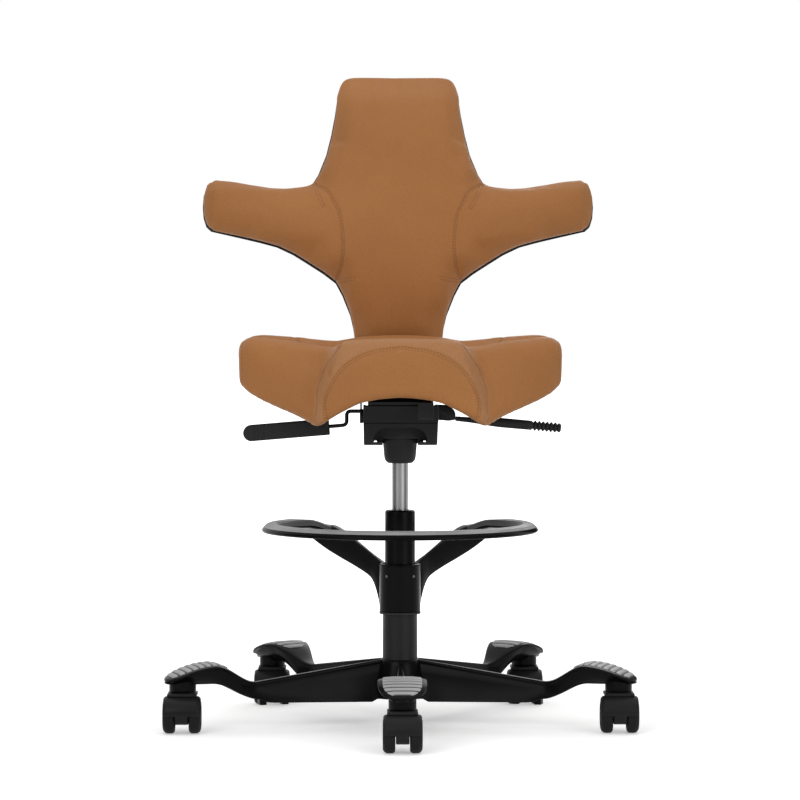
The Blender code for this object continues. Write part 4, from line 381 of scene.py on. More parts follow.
def make_floor():
    """A plain white floor: only the shadows on it can be told from the background."""
    floor = grid("floor", 8, FLOOR_HALF)
    material, tree, bsdf = new_material("white_floor")
    tone = ramp(tree, noise(tree, 3, 2), [0.8] * 3, [0.82] * 3)
    wired(bsdf, Roughness=0.9, Specular_IOR_Level=0, Base_Color=tone)
    shade = node(tree, "BsdfDiffuse", Color=(FLOOR_SHADE, FLOOR_SHADE, FLOOR_SHADE, 1))
    reach = node(tree, "VectorMath", _operation="LENGTH", Vector=object_place(tree)).outputs["Value"]
    fade = node(tree, "MapRange", Value=reach, From_Min=0.7, From_Max=2.2, To_Min=FLOOR_GLOW, To_Max=1.1)
    glow = node(tree, "Emission", Color=WHITE, Strength=fade.outputs["Result"])
    seen = joined(tree, node(tree, "AddShader"), shade.outputs[0], glow.outputs[0])
    wired(tree.nodes["Material Output"], Surface=camera_sees(tree, seen, bsdf.outputs[0]))
    dressed(floor.data, material)


def dark_card(name, place, size, turn_deg, shade):
    """A black card beside the chair that only shows in reflections."""
    card = grid(name, 1, 0.5)
    card.scale = (*size, 1)
    card.rotation_euler = (math.radians(90), 0, math.radians(turn_deg))
    card.location = place
    card.visible_camera = card.visible_diffuse = card.visible_shadow = False
    material, tree, bsdf = new_material(f"{name}_black")
    tone = ramp(tree, noise(tree, 4, 2), [shade * 0.7] * 3, [shade * 1.3] * 3)
    wired(bsdf, Roughness=1, Specular_IOR_Level=0, Base_Color=tone)
    dressed(card.data, material)


def make_light():
    world = bpy.context.scene.world or bpy.data.worlds.new("studio")
    bpy.context.scene.world = world
    world.use_nodes = True
    tree = world.node_tree
    soft = wired(tree.nodes["Background"], Color=WHITE, Strength=WORLD_STRENGTH)
    white = node(tree, "Background", Color=WHITE, Strength=1)
    out = camera_sees(tree, white.outputs[0], soft.outputs[0])
    wired(tree.nodes["World Output"], Surface=out)
    for name, place, aim, size, power in LAMPS:
        light = bpy.data.lights.new(name, "AREA")
        light.shape = "RECTANGLE"
        light.size, light.size_y = size
        light.energy = power
        placed(name, light, place, aim)
    for card in CARDS:
        dark_card(*card)


# Seams
STITCH_LENGTH = 3 * MM
STITCH_PITCH = 4.4 * MM
STITCH_RADIUS = 0.38 * MM
STITCH_SIDES = 6
STITCH_RINGS = ((-0.5, 0.35, 0.7), (-0.36, 1, 0.25), (0, 1.15, 0), (0.36, 1, 0.25), (0.5, 0.35, 0.7))
GROOVE_RADIUS = 0.45 * MM
GROOVE_DEPTH = 1.3 * MM
GROOVE_REACH = 3.6 * MM
SEAM_SPREAD = 2.2 * MM


def tree_of(obj):
    """A search tree over an object's faces, in world metres."""
    mesh = obj.data
    points = [obj.matrix_world @ vert.co for vert in mesh.vertices]
    return BVHTree.FromPolygons(points, [tuple(face.vertices) for face in mesh.polygons])


def near_tree(points):
    """A search tree over points."""
    tree = KDTree(len(points))
    for i, point in enumerate(points):
        tree.insert(point, i)
    tree.balance()
    return tree


def seen_line(tree, pixels, count):
    """Points on the surface under a line drawn on the photograph."""
    hits = []
    for across, down in pixels:
        start, direction = pixel_ray(across, down)
        place = tree.ray_cast(start, direction)[0]
        if place is None:
            place = tree.find_nearest(start + direction * (CAMERA_PLACE.length - 0.2))[0]
        hits.append(place)
    return [tree.find_nearest(point)[0] for point in smooth_line(hits, count)]


def dropped_line(tree, plan, count, height=1.2, direction=(0, 0, -1)):
    """Points on the surface under a line drawn in a flat plan, cast along a direction."""
    way = Vector(direction)
    hits = []
    for point in smooth_line(plan, count):
        place = tree.ray_cast(point - way * height, way)[0]
        hits.append(place or tree.find_nearest(point)[0])
    return hits


def pushed(obj, reach, share):
    """Moves each point of a mesh along its normal, by a share(place, normal) of the reach."""
    normals = [vert.normal.copy() for vert in obj.data.vertices]
    for vert, normal in zip(obj.data.vertices, normals):
        vert.co += normal * reach * share(vert.co, normal)
    obj.data.update()


def sink_along(obj, lines, depth=GROOVE_DEPTH):
    """Draws the leather in along seam lines."""
    near = near_tree([point for line in lines for point in line])

    def share(place, _):
        away = near.find(place)[2] / GROOVE_REACH
        return math.exp(-(away ** 2) * 2) if away < 2 else 0

    pushed(obj, -depth, share)


def tube(name, points, radius, sides=6):
    """A thin tube along points, as a mesh with closed ends."""
    curve = bpy.data.curves.new(name, "CURVE")
    curve.dimensions = "3D"
    curve.bevel_depth = radius
    curve.bevel_resolution = sides // 2 - 2
    curve.use_fill_caps = True
    line = curve.splines.new("POLY")
    line.points.add(len(points) - 1)
    for spot, point in zip(line.points, points):
        spot.co = (*point, 1)
    obj = linked(name, curve)
    mesh = evaluated_mesh(obj)
    bpy.data.objects.remove(obj)
    return linked(name, mesh)


def stitches(name, tree, line, offset=0):
    """A row of stitches along a surface line, shifted sideways in the surface by offset."""
    bm = bmesh.new()
    total = sum((b - a).length for a, b in zip(line, line[1:]))
    count = max(2, int(total / STITCH_PITCH))
    spots = smooth_line(line, count * 2 + 1)
    for k in range(count):
        a, b = spots[2 * k], spots[2 * k + 1]
        along = (b - a).normalized()
        place, normal = tree.find_nearest((a + b) / 2)[:2]
        side = normal.cross(along).normalized()
        place, normal = tree.find_nearest(place + side * offset)[:2]
        side = normal.cross(along).normalized()
        along = side.cross(normal).normalized()
        rings = []
        for share, scale, sink in STITCH_RINGS:
            centre = place + along * STITCH_LENGTH * share - normal * STITCH_RADIUS * sink
            angles = [math.tau * i / STITCH_SIDES for i in range(STITCH_SIDES)]
            spokes = [side * math.cos(angle) + normal * math.sin(angle) for angle in angles]
            rings.append([bm.verts.new(centre + spoke * STITCH_RADIUS * scale) for spoke in spokes])
        skinned(bm, rings)
    return mesh_object(name, bm)


def skinned(bm, rings):
    """Faces between rings of points that all have the same number, and over both ends."""
    count = len(rings[0])
    for near, far in zip(rings, rings[1:]):
        for i in range(count):
            j = (i + 1) % count
            bm.faces.new((near[i], near[j], far[j], far[i]))
    bm.faces.new(rings[0][::-1])
    bm.faces.new(rings[-1])


def section_line(obj, place, normal, count):
    """The closed line in which a plane cuts an object, as evenly spaced points."""
    bm = bmesh.new()
    bm.from_mesh(obj.data)
    geometry = list(bm.verts) + list(bm.edges) + list(bm.faces)
    cut_line = bmesh.ops.bisect_plane(bm, geom=geometry, plane_co=place, plane_no=normal)["geom_cut"]
    edges = dict.fromkeys(edge for edge in cut_line if isinstance(edge, bmesh.types.BMEdge))
    loops = []
    while edges:
        loop = list(edges.popitem()[0].verts)
        growing = True
        while growing:
            growing = False
            for other in loop[-1].link_edges:
                if other in edges:
                    del edges[other]
                    loop.append(other.other_vert(loop[-1]))
                    growing = True
                    break
        loops.append([vert.co.copy() for vert in loop])
    bm.free()
    longest = max(loops, key=len)
    return smooth_line(longest[:-1:2], count, closed=True)


# Padded parts
CLOTH_FRAMES = 20
PRESSURE = 4
VOXEL = 4.6 * MM
SEAT_CAP = 3 * MM
BACK_CAP = 4 * MM
MIRROR_AT = 803.6
# Seams as they are seen, in pixels of the photograph
WING_SEAM = ((339.4, 346.6), (335.5, 352.2), (326.6, 364.3), (321.5, 375.8), (317.7, 386), (316, 394.3),
             (315.7, 408.3), (316, 424.3))
PANEL_SEAM = ((401.8, 347.7), (396.7, 348.1), (386.5, 349.5), (377, 351), (366.1, 353.8), (357.2, 358),
              (348.3, 363.6), (340, 371.4), (333.6, 379.6), (329.1, 387.9), (325.3, 396.2), (323.7, 403.9),
              (324.3, 411.5), (326, 419))
# Plan of the seam behind the pommel, as shares of the seat's half width and of its depth from the nose
TOP_SEAM_SHARES = ((0.36, 0.155), (0.4, 0.3), (0.48, 0.5), (0.6, 0.72), (0.7, 0.9), (0.72, 0.985))
# Places (x, z) of the seam down one side of the back's neck
BACK_SEAM = ((-0.1296, 0.7887), (-0.1073, 0.7763), (-0.0971, 0.76), (-0.0889, 0.7437), (-0.0849, 0.7237),
             (-0.0827, 0.6953), (-0.0848, 0.6712), (-0.0867, 0.659), (-0.0948, 0.639))
# Rises in millimetres at distances from the seat's middle
SEAT_BROW = ((0, -5.6), (0.05, -4.2), (0.085, -0.6), (0.12, 0.4), (0.16, 0.2), (0.19, 0), (0.3, 0))
SEAT_HOLLOW = ((0, 2), (0.03, 2.5), (0.06, 4.2), (0.088, 7), (0.12, 4.8), (0.149, 2.4), (0.19, 0.5),
               (0.3, 0))
SEAT_ARCH = ((0, -2.6), (0.02, -0.8), (0.04, 0.6), (0.06, 0.4), (0.08, 0), (0.1, 0), (0.3, 0))
# Where the seat's top, underside, rear and front begin, and over what length
SEAT_ABOVE, SEAT_BELOW, LEVEL_FADE = 0.505, 0.51, 0.03
HOLLOW_FROM, HOLLOW_FADE = -0.155, 0.05
BROW_TO, BROW_FADE = -0.105, 0.04
END_CAP_INSET = 8.5 * MM
WING_CAP_INSET = 14 * MM
BACK_WIDENING = 2.1 * MM
BAND_EDGE = 4 * MM
BAND_FADE = 6 * MM
BAND_BACK, BAND_BACK_FADE = 0.2, 25 * MM
BAND_BELOW_WING = 30 * MM
BAND_BELOW_PANEL = 20 * MM
PANEL_TOP_HALF = 75 * MM


def mirrored_pixels(line):
    return [(MIRROR_AT - across, down) for across, down in line]


def soft_copy(name, source):
    """A finely meshed copy of a soft solid, with its edges eased."""
    obj = linked(name, NODES[source].data.copy())
    obj.data.materials.clear()
    modified(obj, "REMESH", mode="VOXEL", voxel_size=VOXEL, adaptivity=0)
    return modified(obj, "SMOOTH", factor=0.5, iterations=4)


def puffed(obj, cap):
    """Fills a closed cover with air for a few frames and keeps a limited part of its movement."""
    before = [vert.co.copy() for vert in obj.data.vertices]
    cloth = obj.modifiers.new("cloth", "CLOTH")
    rules = cloth.settings
    rules.quality = 4
    rules.mass = 0.3
    rules.tension_stiffness = rules.compression_stiffness = 22
    rules.shear_stiffness = 10
    rules.bending_stiffness = 1.2
    rules.use_pressure = True
    rules.uniform_pressure_force = PRESSURE
    rules.effector_weights.gravity = 0
    cloth.collision_settings.use_self_collision = False
    cloth.collision_settings.use_collision = False
    cloth.point_cache.frame_start = 1
    cloth.point_cache.frame_end = CLOTH_FRAMES
    scene = bpy.context.scene
    for step in range(1, CLOTH_FRAMES + 1):
        scene.frame_set(step)
    applied(obj)
    scene.frame_set(1)
    for vert, start in zip(obj.data.vertices, before):
        move = vert.co - start
        if move.length > cap:
            vert.co = start + move.normalized() * cap


def refined(obj):
    modified(obj, "SUBSURF", levels=1, render_levels=1)


def seam(prefix, surface, line, body, thread=True, cord=True):
    """A joint between two hides: a sunk line with a row of stitches on each side of it."""
    if cord:
        groove = tube(f"{prefix}_seam", [surface.find_nearest(point)[0] for point in line], GROOVE_RADIUS)
        finished(groove, body, SEAM_LEATHER, "tan_leather")
    if thread:
        for side, word in ((1, "a"), (-1, "b")):
            row = stitches(f"{prefix}_stitches_{word}", surface, line, side * SEAM_SPREAD)
            finished(row, body, THREAD, "tan_leather")


def read_off(table, place):
    """A value read from a table of (place, value), along straight lines."""
    for (a, low), (b, high) in zip(table, table[1:]):
        if place <= b:
            return blend(low, high, max(0.0, (place - a) / (b - a)))
    return table[-1][1]


def shape_seat(obj):
    """Draws the hollow behind the pommel down, the brow beside it up, and the arch to a smooth bow."""
    for vert in obj.data.vertices:
        across = abs(vert.co.x)
        upper = ease(clamp((vert.co.z - SEAT_ABOVE) / LEVEL_FADE))
        lower = ease(clamp((SEAT_BELOW - vert.co.z) / LEVEL_FADE))
        behind = ease(clamp((vert.co.y - HOLLOW_FROM) / HOLLOW_FADE))
        ahead = ease(clamp((BROW_TO - vert.co.y) / BROW_FADE))
        brow = ahead * upper * read_off(SEAT_BROW, across)
        hollow = behind * upper * read_off(SEAT_HOLLOW, across)
        vert.co.z += (brow - hollow + ahead * lower * read_off(SEAT_ARCH, across)) * MM


def calm(obj):
    """Evens out the broad faces only, so that the outline stays."""
    group = obj.vertex_groups.new(name="broad")
    for vert in obj.data.vertices:
        group.add([vert.index], clamp((abs(vert.normal.y) - 0.55) / 0.35), "REPLACE")
    modified(obj, "SMOOTH", factor=0.6, iterations=40, vertex_group="broad")
    obj.vertex_groups.clear()


def band_share(wings, panel, crest):
    """A function that says how far a place of the seat lies inside the pale band, whose paler colour is
    partly painted highlight on the nose's rounded crest.
    """
    wing_tree, panel_tree = near_tree(wings), near_tree(panel)

    def share(co):
        outer = wing_tree.find(co)[0]
        inner, _, inner_gap = panel_tree.find(co)
        if co.z < inner.z - BAND_BELOW_PANEL and abs(co.x) < abs(inner.x):
            return 0
        across = clamp((abs(outer.x) + BAND_EDGE - abs(co.x)) / BAND_EDGE)
        across = across if co.z < outer.z + BAND_BELOW_WING else 1
        front = clamp((crest - co.y) / BAND_BACK_FADE)
        outwards = abs(co.x) > abs(inner.x) or (abs(inner.x) < PANEL_TOP_HALF and co.z > inner.z + MM)
        return across * front * min(1.0, inner_gap / BAND_FADE) * outwards

    return share


def make_seat():
    skin = soft_copy("seat_leather", "seat_cushion")
    shape_seat(skin)
    puffed(skin, SEAT_CAP)
    surface = tree_of(skin)
    wings = [seen_line(surface, line, 90) for line in (WING_SEAM, mirrored_pixels(WING_SEAM))]
    left, right = (seen_line(surface, line, 120) for line in (PANEL_SEAM, mirrored_pixels(PANEL_SEAM)))
    panel = left[::-1] + right[1:]
    low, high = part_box("seat_cushion")
    half, depth = (high.x - low.x) / 2, high.y - low.y
    tops = []
    for (side, _), wing in zip(SIDES, wings):
        plan = [(side * x * half, low.y + depth * y, high.z) for x, y in TOP_SEAM_SHARES]
        tops.append(dropped_line(surface, [wing[0]] + plan, 120))
    refined(skin)
    sink_along(skin, wings + [panel] + tops)
    surface = tree_of(skin)
    caps = [section_line(skin, (side * (half - END_CAP_INSET), 0, 0), (1, 0, 0), 160) for side, _ in SIDES]
    # Where the leather turns paler: a paler band of leather with painted highlight on its crest.
    share = band_share(wings[0] + wings[1], panel, low.y + depth * BAND_BACK)
    layer = skin.data.attributes.new("band", "FLOAT", "POINT")
    layer.data.foreach_set("value", [share(vert.co) for vert in skin.data.vertices])
    finished(skin, "seat", LEATHER, "tan_leather", "seat_cushion", None)
    seam("seat_front_panel", surface, panel, "seat", cord=False)
    for (_, word), wing, top, cap in zip(SIDES, wings, tops, caps):
        seam(f"seat_{word}_wing", surface, wing, "seat", thread=False)
        seam(f"seat_{word}_top", surface, top, "seat")
        finished(stitches(f"seat_{word}_cap_stitches", surface, cap), "seat", THREAD, "tan_leather")


def make_back():
    skin = soft_copy("back_leather", "back_cushion")
    calm(skin)
    pushed(skin, BACK_WIDENING, lambda _, normal: min(1.0, math.hypot(normal.x, normal.z) * 1.2))
    puffed(skin, BACK_CAP)
    low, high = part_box("back_cushion")
    surface = tree_of(skin)
    lines = []
    for side in (1, -1):
        plan = [(side * x, low.y - 0.1, z) for x, z in BACK_SEAM]
        lines.append(dropped_line(surface, plan, 90, 0, (0, 1, 0)))
    refined(skin)
    edge = (high.x - low.x) / 2 - WING_CAP_INSET
    caps = [section_line(skin, (side * edge, 0, 0), (1, 0, 0), 120) for side, _ in SIDES]
    sink_along(skin, lines + caps, GROOVE_DEPTH * 0.8)
    surface = tree_of(skin)
    finished(skin, "back", LEATHER, "tan_leather", "back_cushion", None)
    for line, (_, word) in zip(lines, SIDES):
        seam(f"back_{word}", surface, line, "back")


def skin_between(bm, near, far, steps):
    """Faces between two rings, of which one may be a single point."""
    for i in range(steps):
        j = (i + 1) % steps
        corners = (near[i % len(near)], near[j % len(near)], far[j % len(far)], far[i % len(far)])
        unique = list(dict.fromkeys(corners))
        if len(unique) > 2:
            bm.faces.new(unique)


def lathed(name, profile, steps=72, closed=False):
    """A turned piece about Z from (radius, height) points."""
    bm = bmesh.new()
    rings = []
    for radius, height in profile:
        angles = [math.tau * i / steps for i in range(steps if radius > 0 else 1)]
        spots = [(radius * MM * math.cos(a), radius * MM * math.sin(a), height * MM) for a in angles]
        rings.append([bm.verts.new(spot) for spot in spots])
    for near, far in zip(rings, rings[1:] + rings[:1] if closed else rings[1:]):
        skin_between(bm, near, far, steps)
    return mesh_object(name, bm)


def rounded(profile, radius, steps=3, closed=False):
    """The profile with each of its corners replaced by a small arc."""
    made = []
    count = len(profile)
    for i, corner in enumerate(profile):
        if not closed and i in (0, count - 1):
            made.append(corner)
            continue
        here = Vector(corner)
        before, after = Vector(profile[i - 1]) - here, Vector(profile[(i + 1) % count]) - here
        cut_back = min(radius, before.length * 0.45, after.length * 0.45)
        start, stop = here + before.normalized() * cut_back, here + after.normalized() * cut_back
        for k in range(steps + 1):
            t = k / steps
            made.append(tuple(start * (1 - t) ** 2 + here * 2 * t * (1 - t) + stop * t * t))
    return made


def lofted(name, sections):
    """A skin through sections that all have the same number of points."""
    bm = bmesh.new()
    skinned(bm, [[bm.verts.new(Vector(point) * MM) for point in section] for section in sections])
    return mesh_object(name, bm)


def merged(name, pieces):
    """Several pieces as one object."""
    bm = bmesh.new()
    for piece in pieces:
        piece.data.transform(piece.matrix_world)
        bm.from_mesh(piece.data)
        bpy.data.objects.remove(piece)
    return mesh_object(name, bm)


def moved(obj, place):
    """Moves a piece by a distance in metres."""
    obj.data.transform(Matrix.Translation(place))
    return obj


def turned_to(obj, place, direction):
    """Moves a piece made along +Z to a place in metres, pointing along a direction."""
    turn = Vector((0, 0, 1)).rotation_difference(Vector(direction)).to_matrix().to_4x4()
    obj.data.transform(Matrix.Translation(place) @ turn)
    return obj


def spun(obj, angle):
    obj.data.transform(Matrix.Rotation(math.radians(angle), 4, "Z"))
    return obj


def rounded_block(name, low, high, radius):
    """A box between two corners, with rounded edges."""
    low, high = Vector(low) * MM, Vector(high) * MM
    bm = bmesh.new()
    bmesh.ops.create_cube(bm, size=1)
    bmesh.ops.scale(bm, vec=high - low, verts=bm.verts)
    bmesh.ops.translate(bm, vec=(low + high) / 2, verts=bm.verts)
    bmesh.ops.bevel(bm, geom=list(bm.edges), offset=radius * MM, segments=3, profile=0.5, affect="EDGES")
    return mesh_object(name, bm)


def cut(obj, *cutters):
    """Takes the cutters out of a piece."""
    for cutter in cutters:
        modified(obj, "BOOLEAN", object=cutter, operation="DIFFERENCE", solver="EXACT")
    for cutter in cutters:
        bpy.data.objects.remove(cutter)


def box_of(name):
    """The two corners of a solid's box in millimetres."""
    return [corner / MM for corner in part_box(name)]


def spoke(degrees):
    """The directions outwards and sideways at an angle round the column."""
    angle = math.radians(degrees)
    out = Vector((math.cos(angle), math.sin(angle), 0))
    return out, Vector((-out.y, out.x, 0))


def with_left(reach, right):
    """A closed section at a reach from its right half."""
    return [(reach, y, z) for y, z in right + [(-y, z) for y, z in reversed(right)]]


# Foot ring
RING_OUTSIDE = 200
RING_TOP = 288.5
RING_DEPTH = 10.8
RING_WIDTHS = (23, 58)
RING_HALF_ARC = 139
RING_WIDENING = 48
RING_SLICES = 150
RING_END_DROP = 11
TREAD_LINES = 5
ARM_AT = 41
ARM_LOW = ((27, 160), (29.5, 164), (33, 176.5), (40, 190.5), (50, 203), (62, 211), (90, 222.5), (120, 233.5),
           (150, 245.5), (176, 258.5), (183, 263))
ARM_HIGH = ((27, 226.5), (30, 228), (40, 232.5), (50, 237.5), (62, 243), (90, 256.5), (120, 270.5),
            (145, 279), (165, 280), (176, 280), (183, 279))
RING_HUB = ((26.4, 162.5), (29, 161.8), (29.8, 163), (29.7, 227.5), (30.3, 228.3), (30.3, 230.3),
            (29, 231.2), (26.4, 231.2))


def ring_band(name, profile):
    """A band along the foot ring; the profile gives (across, height) points for a width."""
    start = 1 - RING_WIDENING / RING_HALF_ARC
    sections = []
    for i in range(RING_SLICES + 1):
        share = 2 * i / RING_SLICES - 1
        width = blend(*RING_WIDTHS, ease(clamp((abs(share) - start) / (1 - start))))
        width *= 1 - 0.16 * clamp((abs(share) - 0.965) / 0.035) ** 2
        out, _ = spoke(-90 + share * RING_HALF_ARC)
        drop = RING_END_DROP * ease(clamp((abs(share) - 0.87) / 0.13))
        sections.append([out * (RING_OUTSIDE - a) + Vector((0, 0, z - drop)) for a, z in profile(width)])
    return lofted(name, sections)


def rail_section(width):
    top, low = RING_TOP, RING_TOP - RING_DEPTH
    points = [(0.6, top - 6.4), (0, top - 8), (0.3, low + 1.5), (1.8, low), (width - 3, low),
              (width, low + 3), (width, top - 2), (width - 1.6, top), (width - 3, top - 0.6), (9, top - 0.8),
              (3, top - 3)]
    return rounded(points, 1.1, 2, True)


def tread_section(width):
    """The rubber strip, domed over the outer edge and scored by fine lines along the ring."""
    top = RING_TOP
    start, stop = 1.2, width - 1.2
    points = [(start, top - 6.8)]
    for i in range(1, TREAD_LINES * 6):
        across = blend(start, stop, i / (TREAD_LINES * 6))
        dome = top + 1.6 - 7.4 * max(0.0, 1 - (across - start) / 9.5) ** 2
        points.append((across, dome - (0 if i % 6 else 0.7)))
    return points + [(stop, top), (width + 0.1, top - 0.5), (width + 0.6, top - 1.6),
                     (width + 0.6, top - 7.2), (width - 1.4, top - 7.2), (width - 2.4, top - 1.6),
                     (9.5, top - 1.6), (3.6, top - 4.4)]


def ring_wear_and_highlight(point):
    """Painted highlight and wear: pale grey on the front arc, where the feet rub the tread and light catches
    it, fading to dark toward the rear ends, and darker along the outer rim.
    """
    front = math.degrees(math.atan2(abs(point.x), -point.y))
    level = blend(1, 0.16, ease(clamp((front - 62) / 50)))
    outer = clamp((RING_OUTSIDE + 1 - point.xy.length / MM) / 3)
    return level * blend(0.35, 1, outer)


def painted(obj, attribute, share):
    """Gives each point of the mesh a value between 0 and 1 for a material to read."""
    layer = obj.data.attributes.new(attribute, "FLOAT_COLOR", "POINT")
    for vert, entry in zip(obj.data.vertices, layer.data):
        value = clamp(share(vert.co))
        entry.color = (value, value, value, 1)


def ring_shoulder(side, word):
    """The slope that leads from a rear end of the ring down to its arm."""
    out, across = spoke(90 - side * (180 - RING_HALF_ARC - 1.5))
    sections = []
    for i in range(9):
        share = i / 8
        half = blend(16, 9, ease(share))
        top = RING_TOP - RING_END_DROP - 0.6 - 17 * share ** 1.4
        low = top - RING_DEPTH * 0.9
        corners = rounded([(-half, low), (half, low), (half, top), (-half, top)], 2.5, 3, True)
        start = out * blend(186, 128, share)
        sections.append([start + across * a + Vector((0, 0, z)) for a, z in corners])
    return lofted(f"footring_shoulder_{word}", sections)


def ring_arm(side):
    """An arm from the hub up to a rear end of the ring."""
    out, across = spoke(90 - side * ARM_AT)
    lows, highs = ([(p.x, p.z) for p in smooth_line([(r, 0, z) for r, z in line], 60)]
                   for line in (ARM_LOW, ARM_HIGH))
    sections = []
    for k in range(64):
        reach = blend(27, 182, (k / 63) ** 1.25)
        low, high = read_off(lows, reach), read_off(highs, reach)
        half = blend(15.5, 9.5, ease(clamp((reach - 27) / 34)))
        half = blend(half, 21, max(0.0, (reach - 70) / 112) ** 1.2)
        waist = low + (high - low) * 0.45
        plan = [(-half * 0.86, low), (half * 0.86, low), (half * 0.72, waist), (half * 0.42, high),
                (-half * 0.42, high), (-half * 0.72, waist)]
        plan = rounded(plan, 3.2, 4, True)
        sections.append([out * reach + across * a + Vector((0, 0, z)) for a, z in plan])
    return lofted("arm", sections)


def make_ring():
    rail = ring_band("footring_rail", rail_section)
    hub = lathed("footring_hub", rounded(RING_HUB, 0.7), closed=True)
    for piece in (rail, hub, *(ring_shoulder(*side) for side in SIDES)):
        finished(piece, "footring", GLOSS_BLACK, "gloss_black", None, 40)
    tread = ring_band("footring_tread_strip", tread_section)
    # Wear and painted highlight: paler on the front arc, dark toward the rear ends.
    painted(tread, "lightened", ring_wear_and_highlight)
    finished(tread, "footring", RING_RUBBER, "ring_rubber", "footring_tread", 60)
    arms = merged("footring_arms", [ring_arm(side) for side, _ in SIDES])
    finished(arms, "footring", ARM_BLACK, "gloss_black", "footring_frame", 42)


# Base and castors
STEM_REACH = 325.5
HUB_TOP_AT = 93.3
VALLEY_AT = (217.1, 67.5)
HUMP_AT = (284.5, 96)
TIP_AT = (351.1, 75.4)
STEP_WIDEST = (300.5, 34)
LEG_LOW = 37.5
HUB_FOOT = 39
KEEL_DIP = 5.2
VALLEY_RISE = 6
HUMP_THICKNESS = 28.5
LEG_FLANK = ((0.3, 0.22), (0.62, 0.48), (0.86, 0.76))
GLIDE_BACKS = (117.5, 150.5)
PAD_START, PAD_END = 261.2, 347
PAD_RIBS = 9
PAD_RIB = ((0.02, 0), (0.1, 0.1), (0.15, 0.6), (0.24, 1), (0.62, 1), (0.71, 0.6), (0.76, 0.1), (0.84, 0))
HOOD_RADIUS = 25.7
CASTOR_TRAIL = 20 * MM
HOOD_REAR = ((16, 4), (8, -5), (0, -11.5), (-12, -12))
WEB_INSETS = ((-9.1, 1.6), (-8.7, 0.6), (-7.9, 0), (7.9, 0), (8.7, 0.6), (9.1, 1.6))


def leg_line(reach):
    """Top, underside and half width of a leg at a reach from the column."""
    valley, valley_top = VALLEY_AT
    hump, hump_top = HUMP_AT
    tip, tip_top = TIP_AT
    widest, most = STEP_WIDEST
    hump_low = hump_top - HUMP_THICKNESS
    if reach < valley:
        top = blend(HUB_TOP_AT, valley_top, (reach - 29) / (valley - 29))
        dip = KEEL_DIP * max(0.0, 1 - reach / 190) * clamp((reach - HUB_FOOT) / 8)
        low = LEG_LOW - dip + max(0.0, (reach - valley + 15) / 15) * VALLEY_RISE
    elif reach < hump:
        share = ease((reach - valley) / (hump - valley))
        top, low = blend(valley_top, hump_top, share), blend(LEG_LOW + VALLEY_RISE, hump_low, share)
    else:
        share = (reach - hump) / (tip - hump)
        top, low = blend(hump_top, tip_top, share ** 1.8), blend(hump_low, tip_top - 6.5, share ** 2)
    if reach < valley:
        half = blend(1.6, 6, clamp((reach - 29) / 90))
    elif reach < widest:
        half = blend(6, most, math.sin((reach - valley) / (widest - valley) * math.pi / 2) ** 1.3)
    else:
        half = most * max(0.0, 1 - ((reach - widest) / (tip - widest)) ** 3.2) ** 0.46
    return top, low, half


def leg_ring(reach):
    """One closed section of a leg: keel, hollow flank, drip edge and softly rounded top."""
    top, low, half = leg_line(reach)
    opened = clamp((reach - VALLEY_AT[0]) / (HUMP_AT[0] - VALLEY_AT[0]))
    half = max(half, 5) if reach > STEP_WIDEST[0] else half
    keel = min(blend(15, 13, opened), half + 15 * (1 - opened))
    keel = min(keel, half * 0.9) if opened == 1 else keel
    rim = min(6.5, (top - low) / 2)
    crown = 1.5 * opened
    neck = blend(half + 0.5, max(half - 5.5, half / 2), opened)
    right = [(keel - 1.2, low), (keel, low + 1.2)]
    right += [(blend(keel, neck, a), blend(low, top - rim, b)) for a, b in LEG_FLANK]
    right += [(neck, top - rim * 1.05), (half - 0.5, top - rim * 0.82), (half, top - rim * 0.62),
              (half - 0.3, top - rim * 0.34), (half - min(1.6, half / 4), top - 0.5 - crown),
              (half - min(3.6, half / 2.2), top - crown), (half / 2, top - crown / 4)]
    return with_left(reach, right)


def leg_reaches():
    valley, widest, tip = VALLEY_AT[0], STEP_WIDEST[0], TIP_AT[0]
    flat = [24, HUB_FOOT, HUB_FOOT + 4] + [47 + (valley - 47) * i / 14 for i in range(14)]
    rise = [blend(valley, widest, i / 26) for i in range(26)]
    return flat + rise + [blend(widest, tip, math.sin(math.pi / 2 * i / 20)) for i in range(21)]


def leg_angle(number):
    return -90 + (number - 1) * 72


def make_base():
    pieces = []
    for i in CASTORS:
        leg = [lofted(f"leg_{i}", [leg_ring(reach) for reach in leg_reaches()])]
        socket = [(6.2, 57.1), (19, 57.1), (19, 73.5), (15, 79), (6.2, 79)]
        leg.append(moved(lathed("socket", rounded(socket, 0.8)), (STEM_REACH * MM, 0, 0)))
        for back in GLIDE_BACKS:
            middle = STEM_REACH - back
            low, high = (middle - 5, -7, LEG_LOW - 3.5), (middle + 5, 7, LEG_LOW + 6)
            leg.append(rounded_block("glide", low, high, 1))
        pieces += [spun(piece, leg_angle(i)) for piece in leg]
    hub = rounded([(25.3, LEG_LOW), (HUB_FOOT, LEG_LOW), (HUB_FOOT, LEG_LOW + 13),
                           (31, HUB_TOP_AT - 6.5), (29, HUB_TOP_AT - 1.7), (27.5, HUB_TOP_AT),
                           (25.3, HUB_TOP_AT)], 1.6)
    pieces.append(lathed("hub", hub, closed=True))
    finished(merged("star_casting", pieces), "base", BASE_BLACK, "gloss_black", "star_base", 38)
    make_pads()


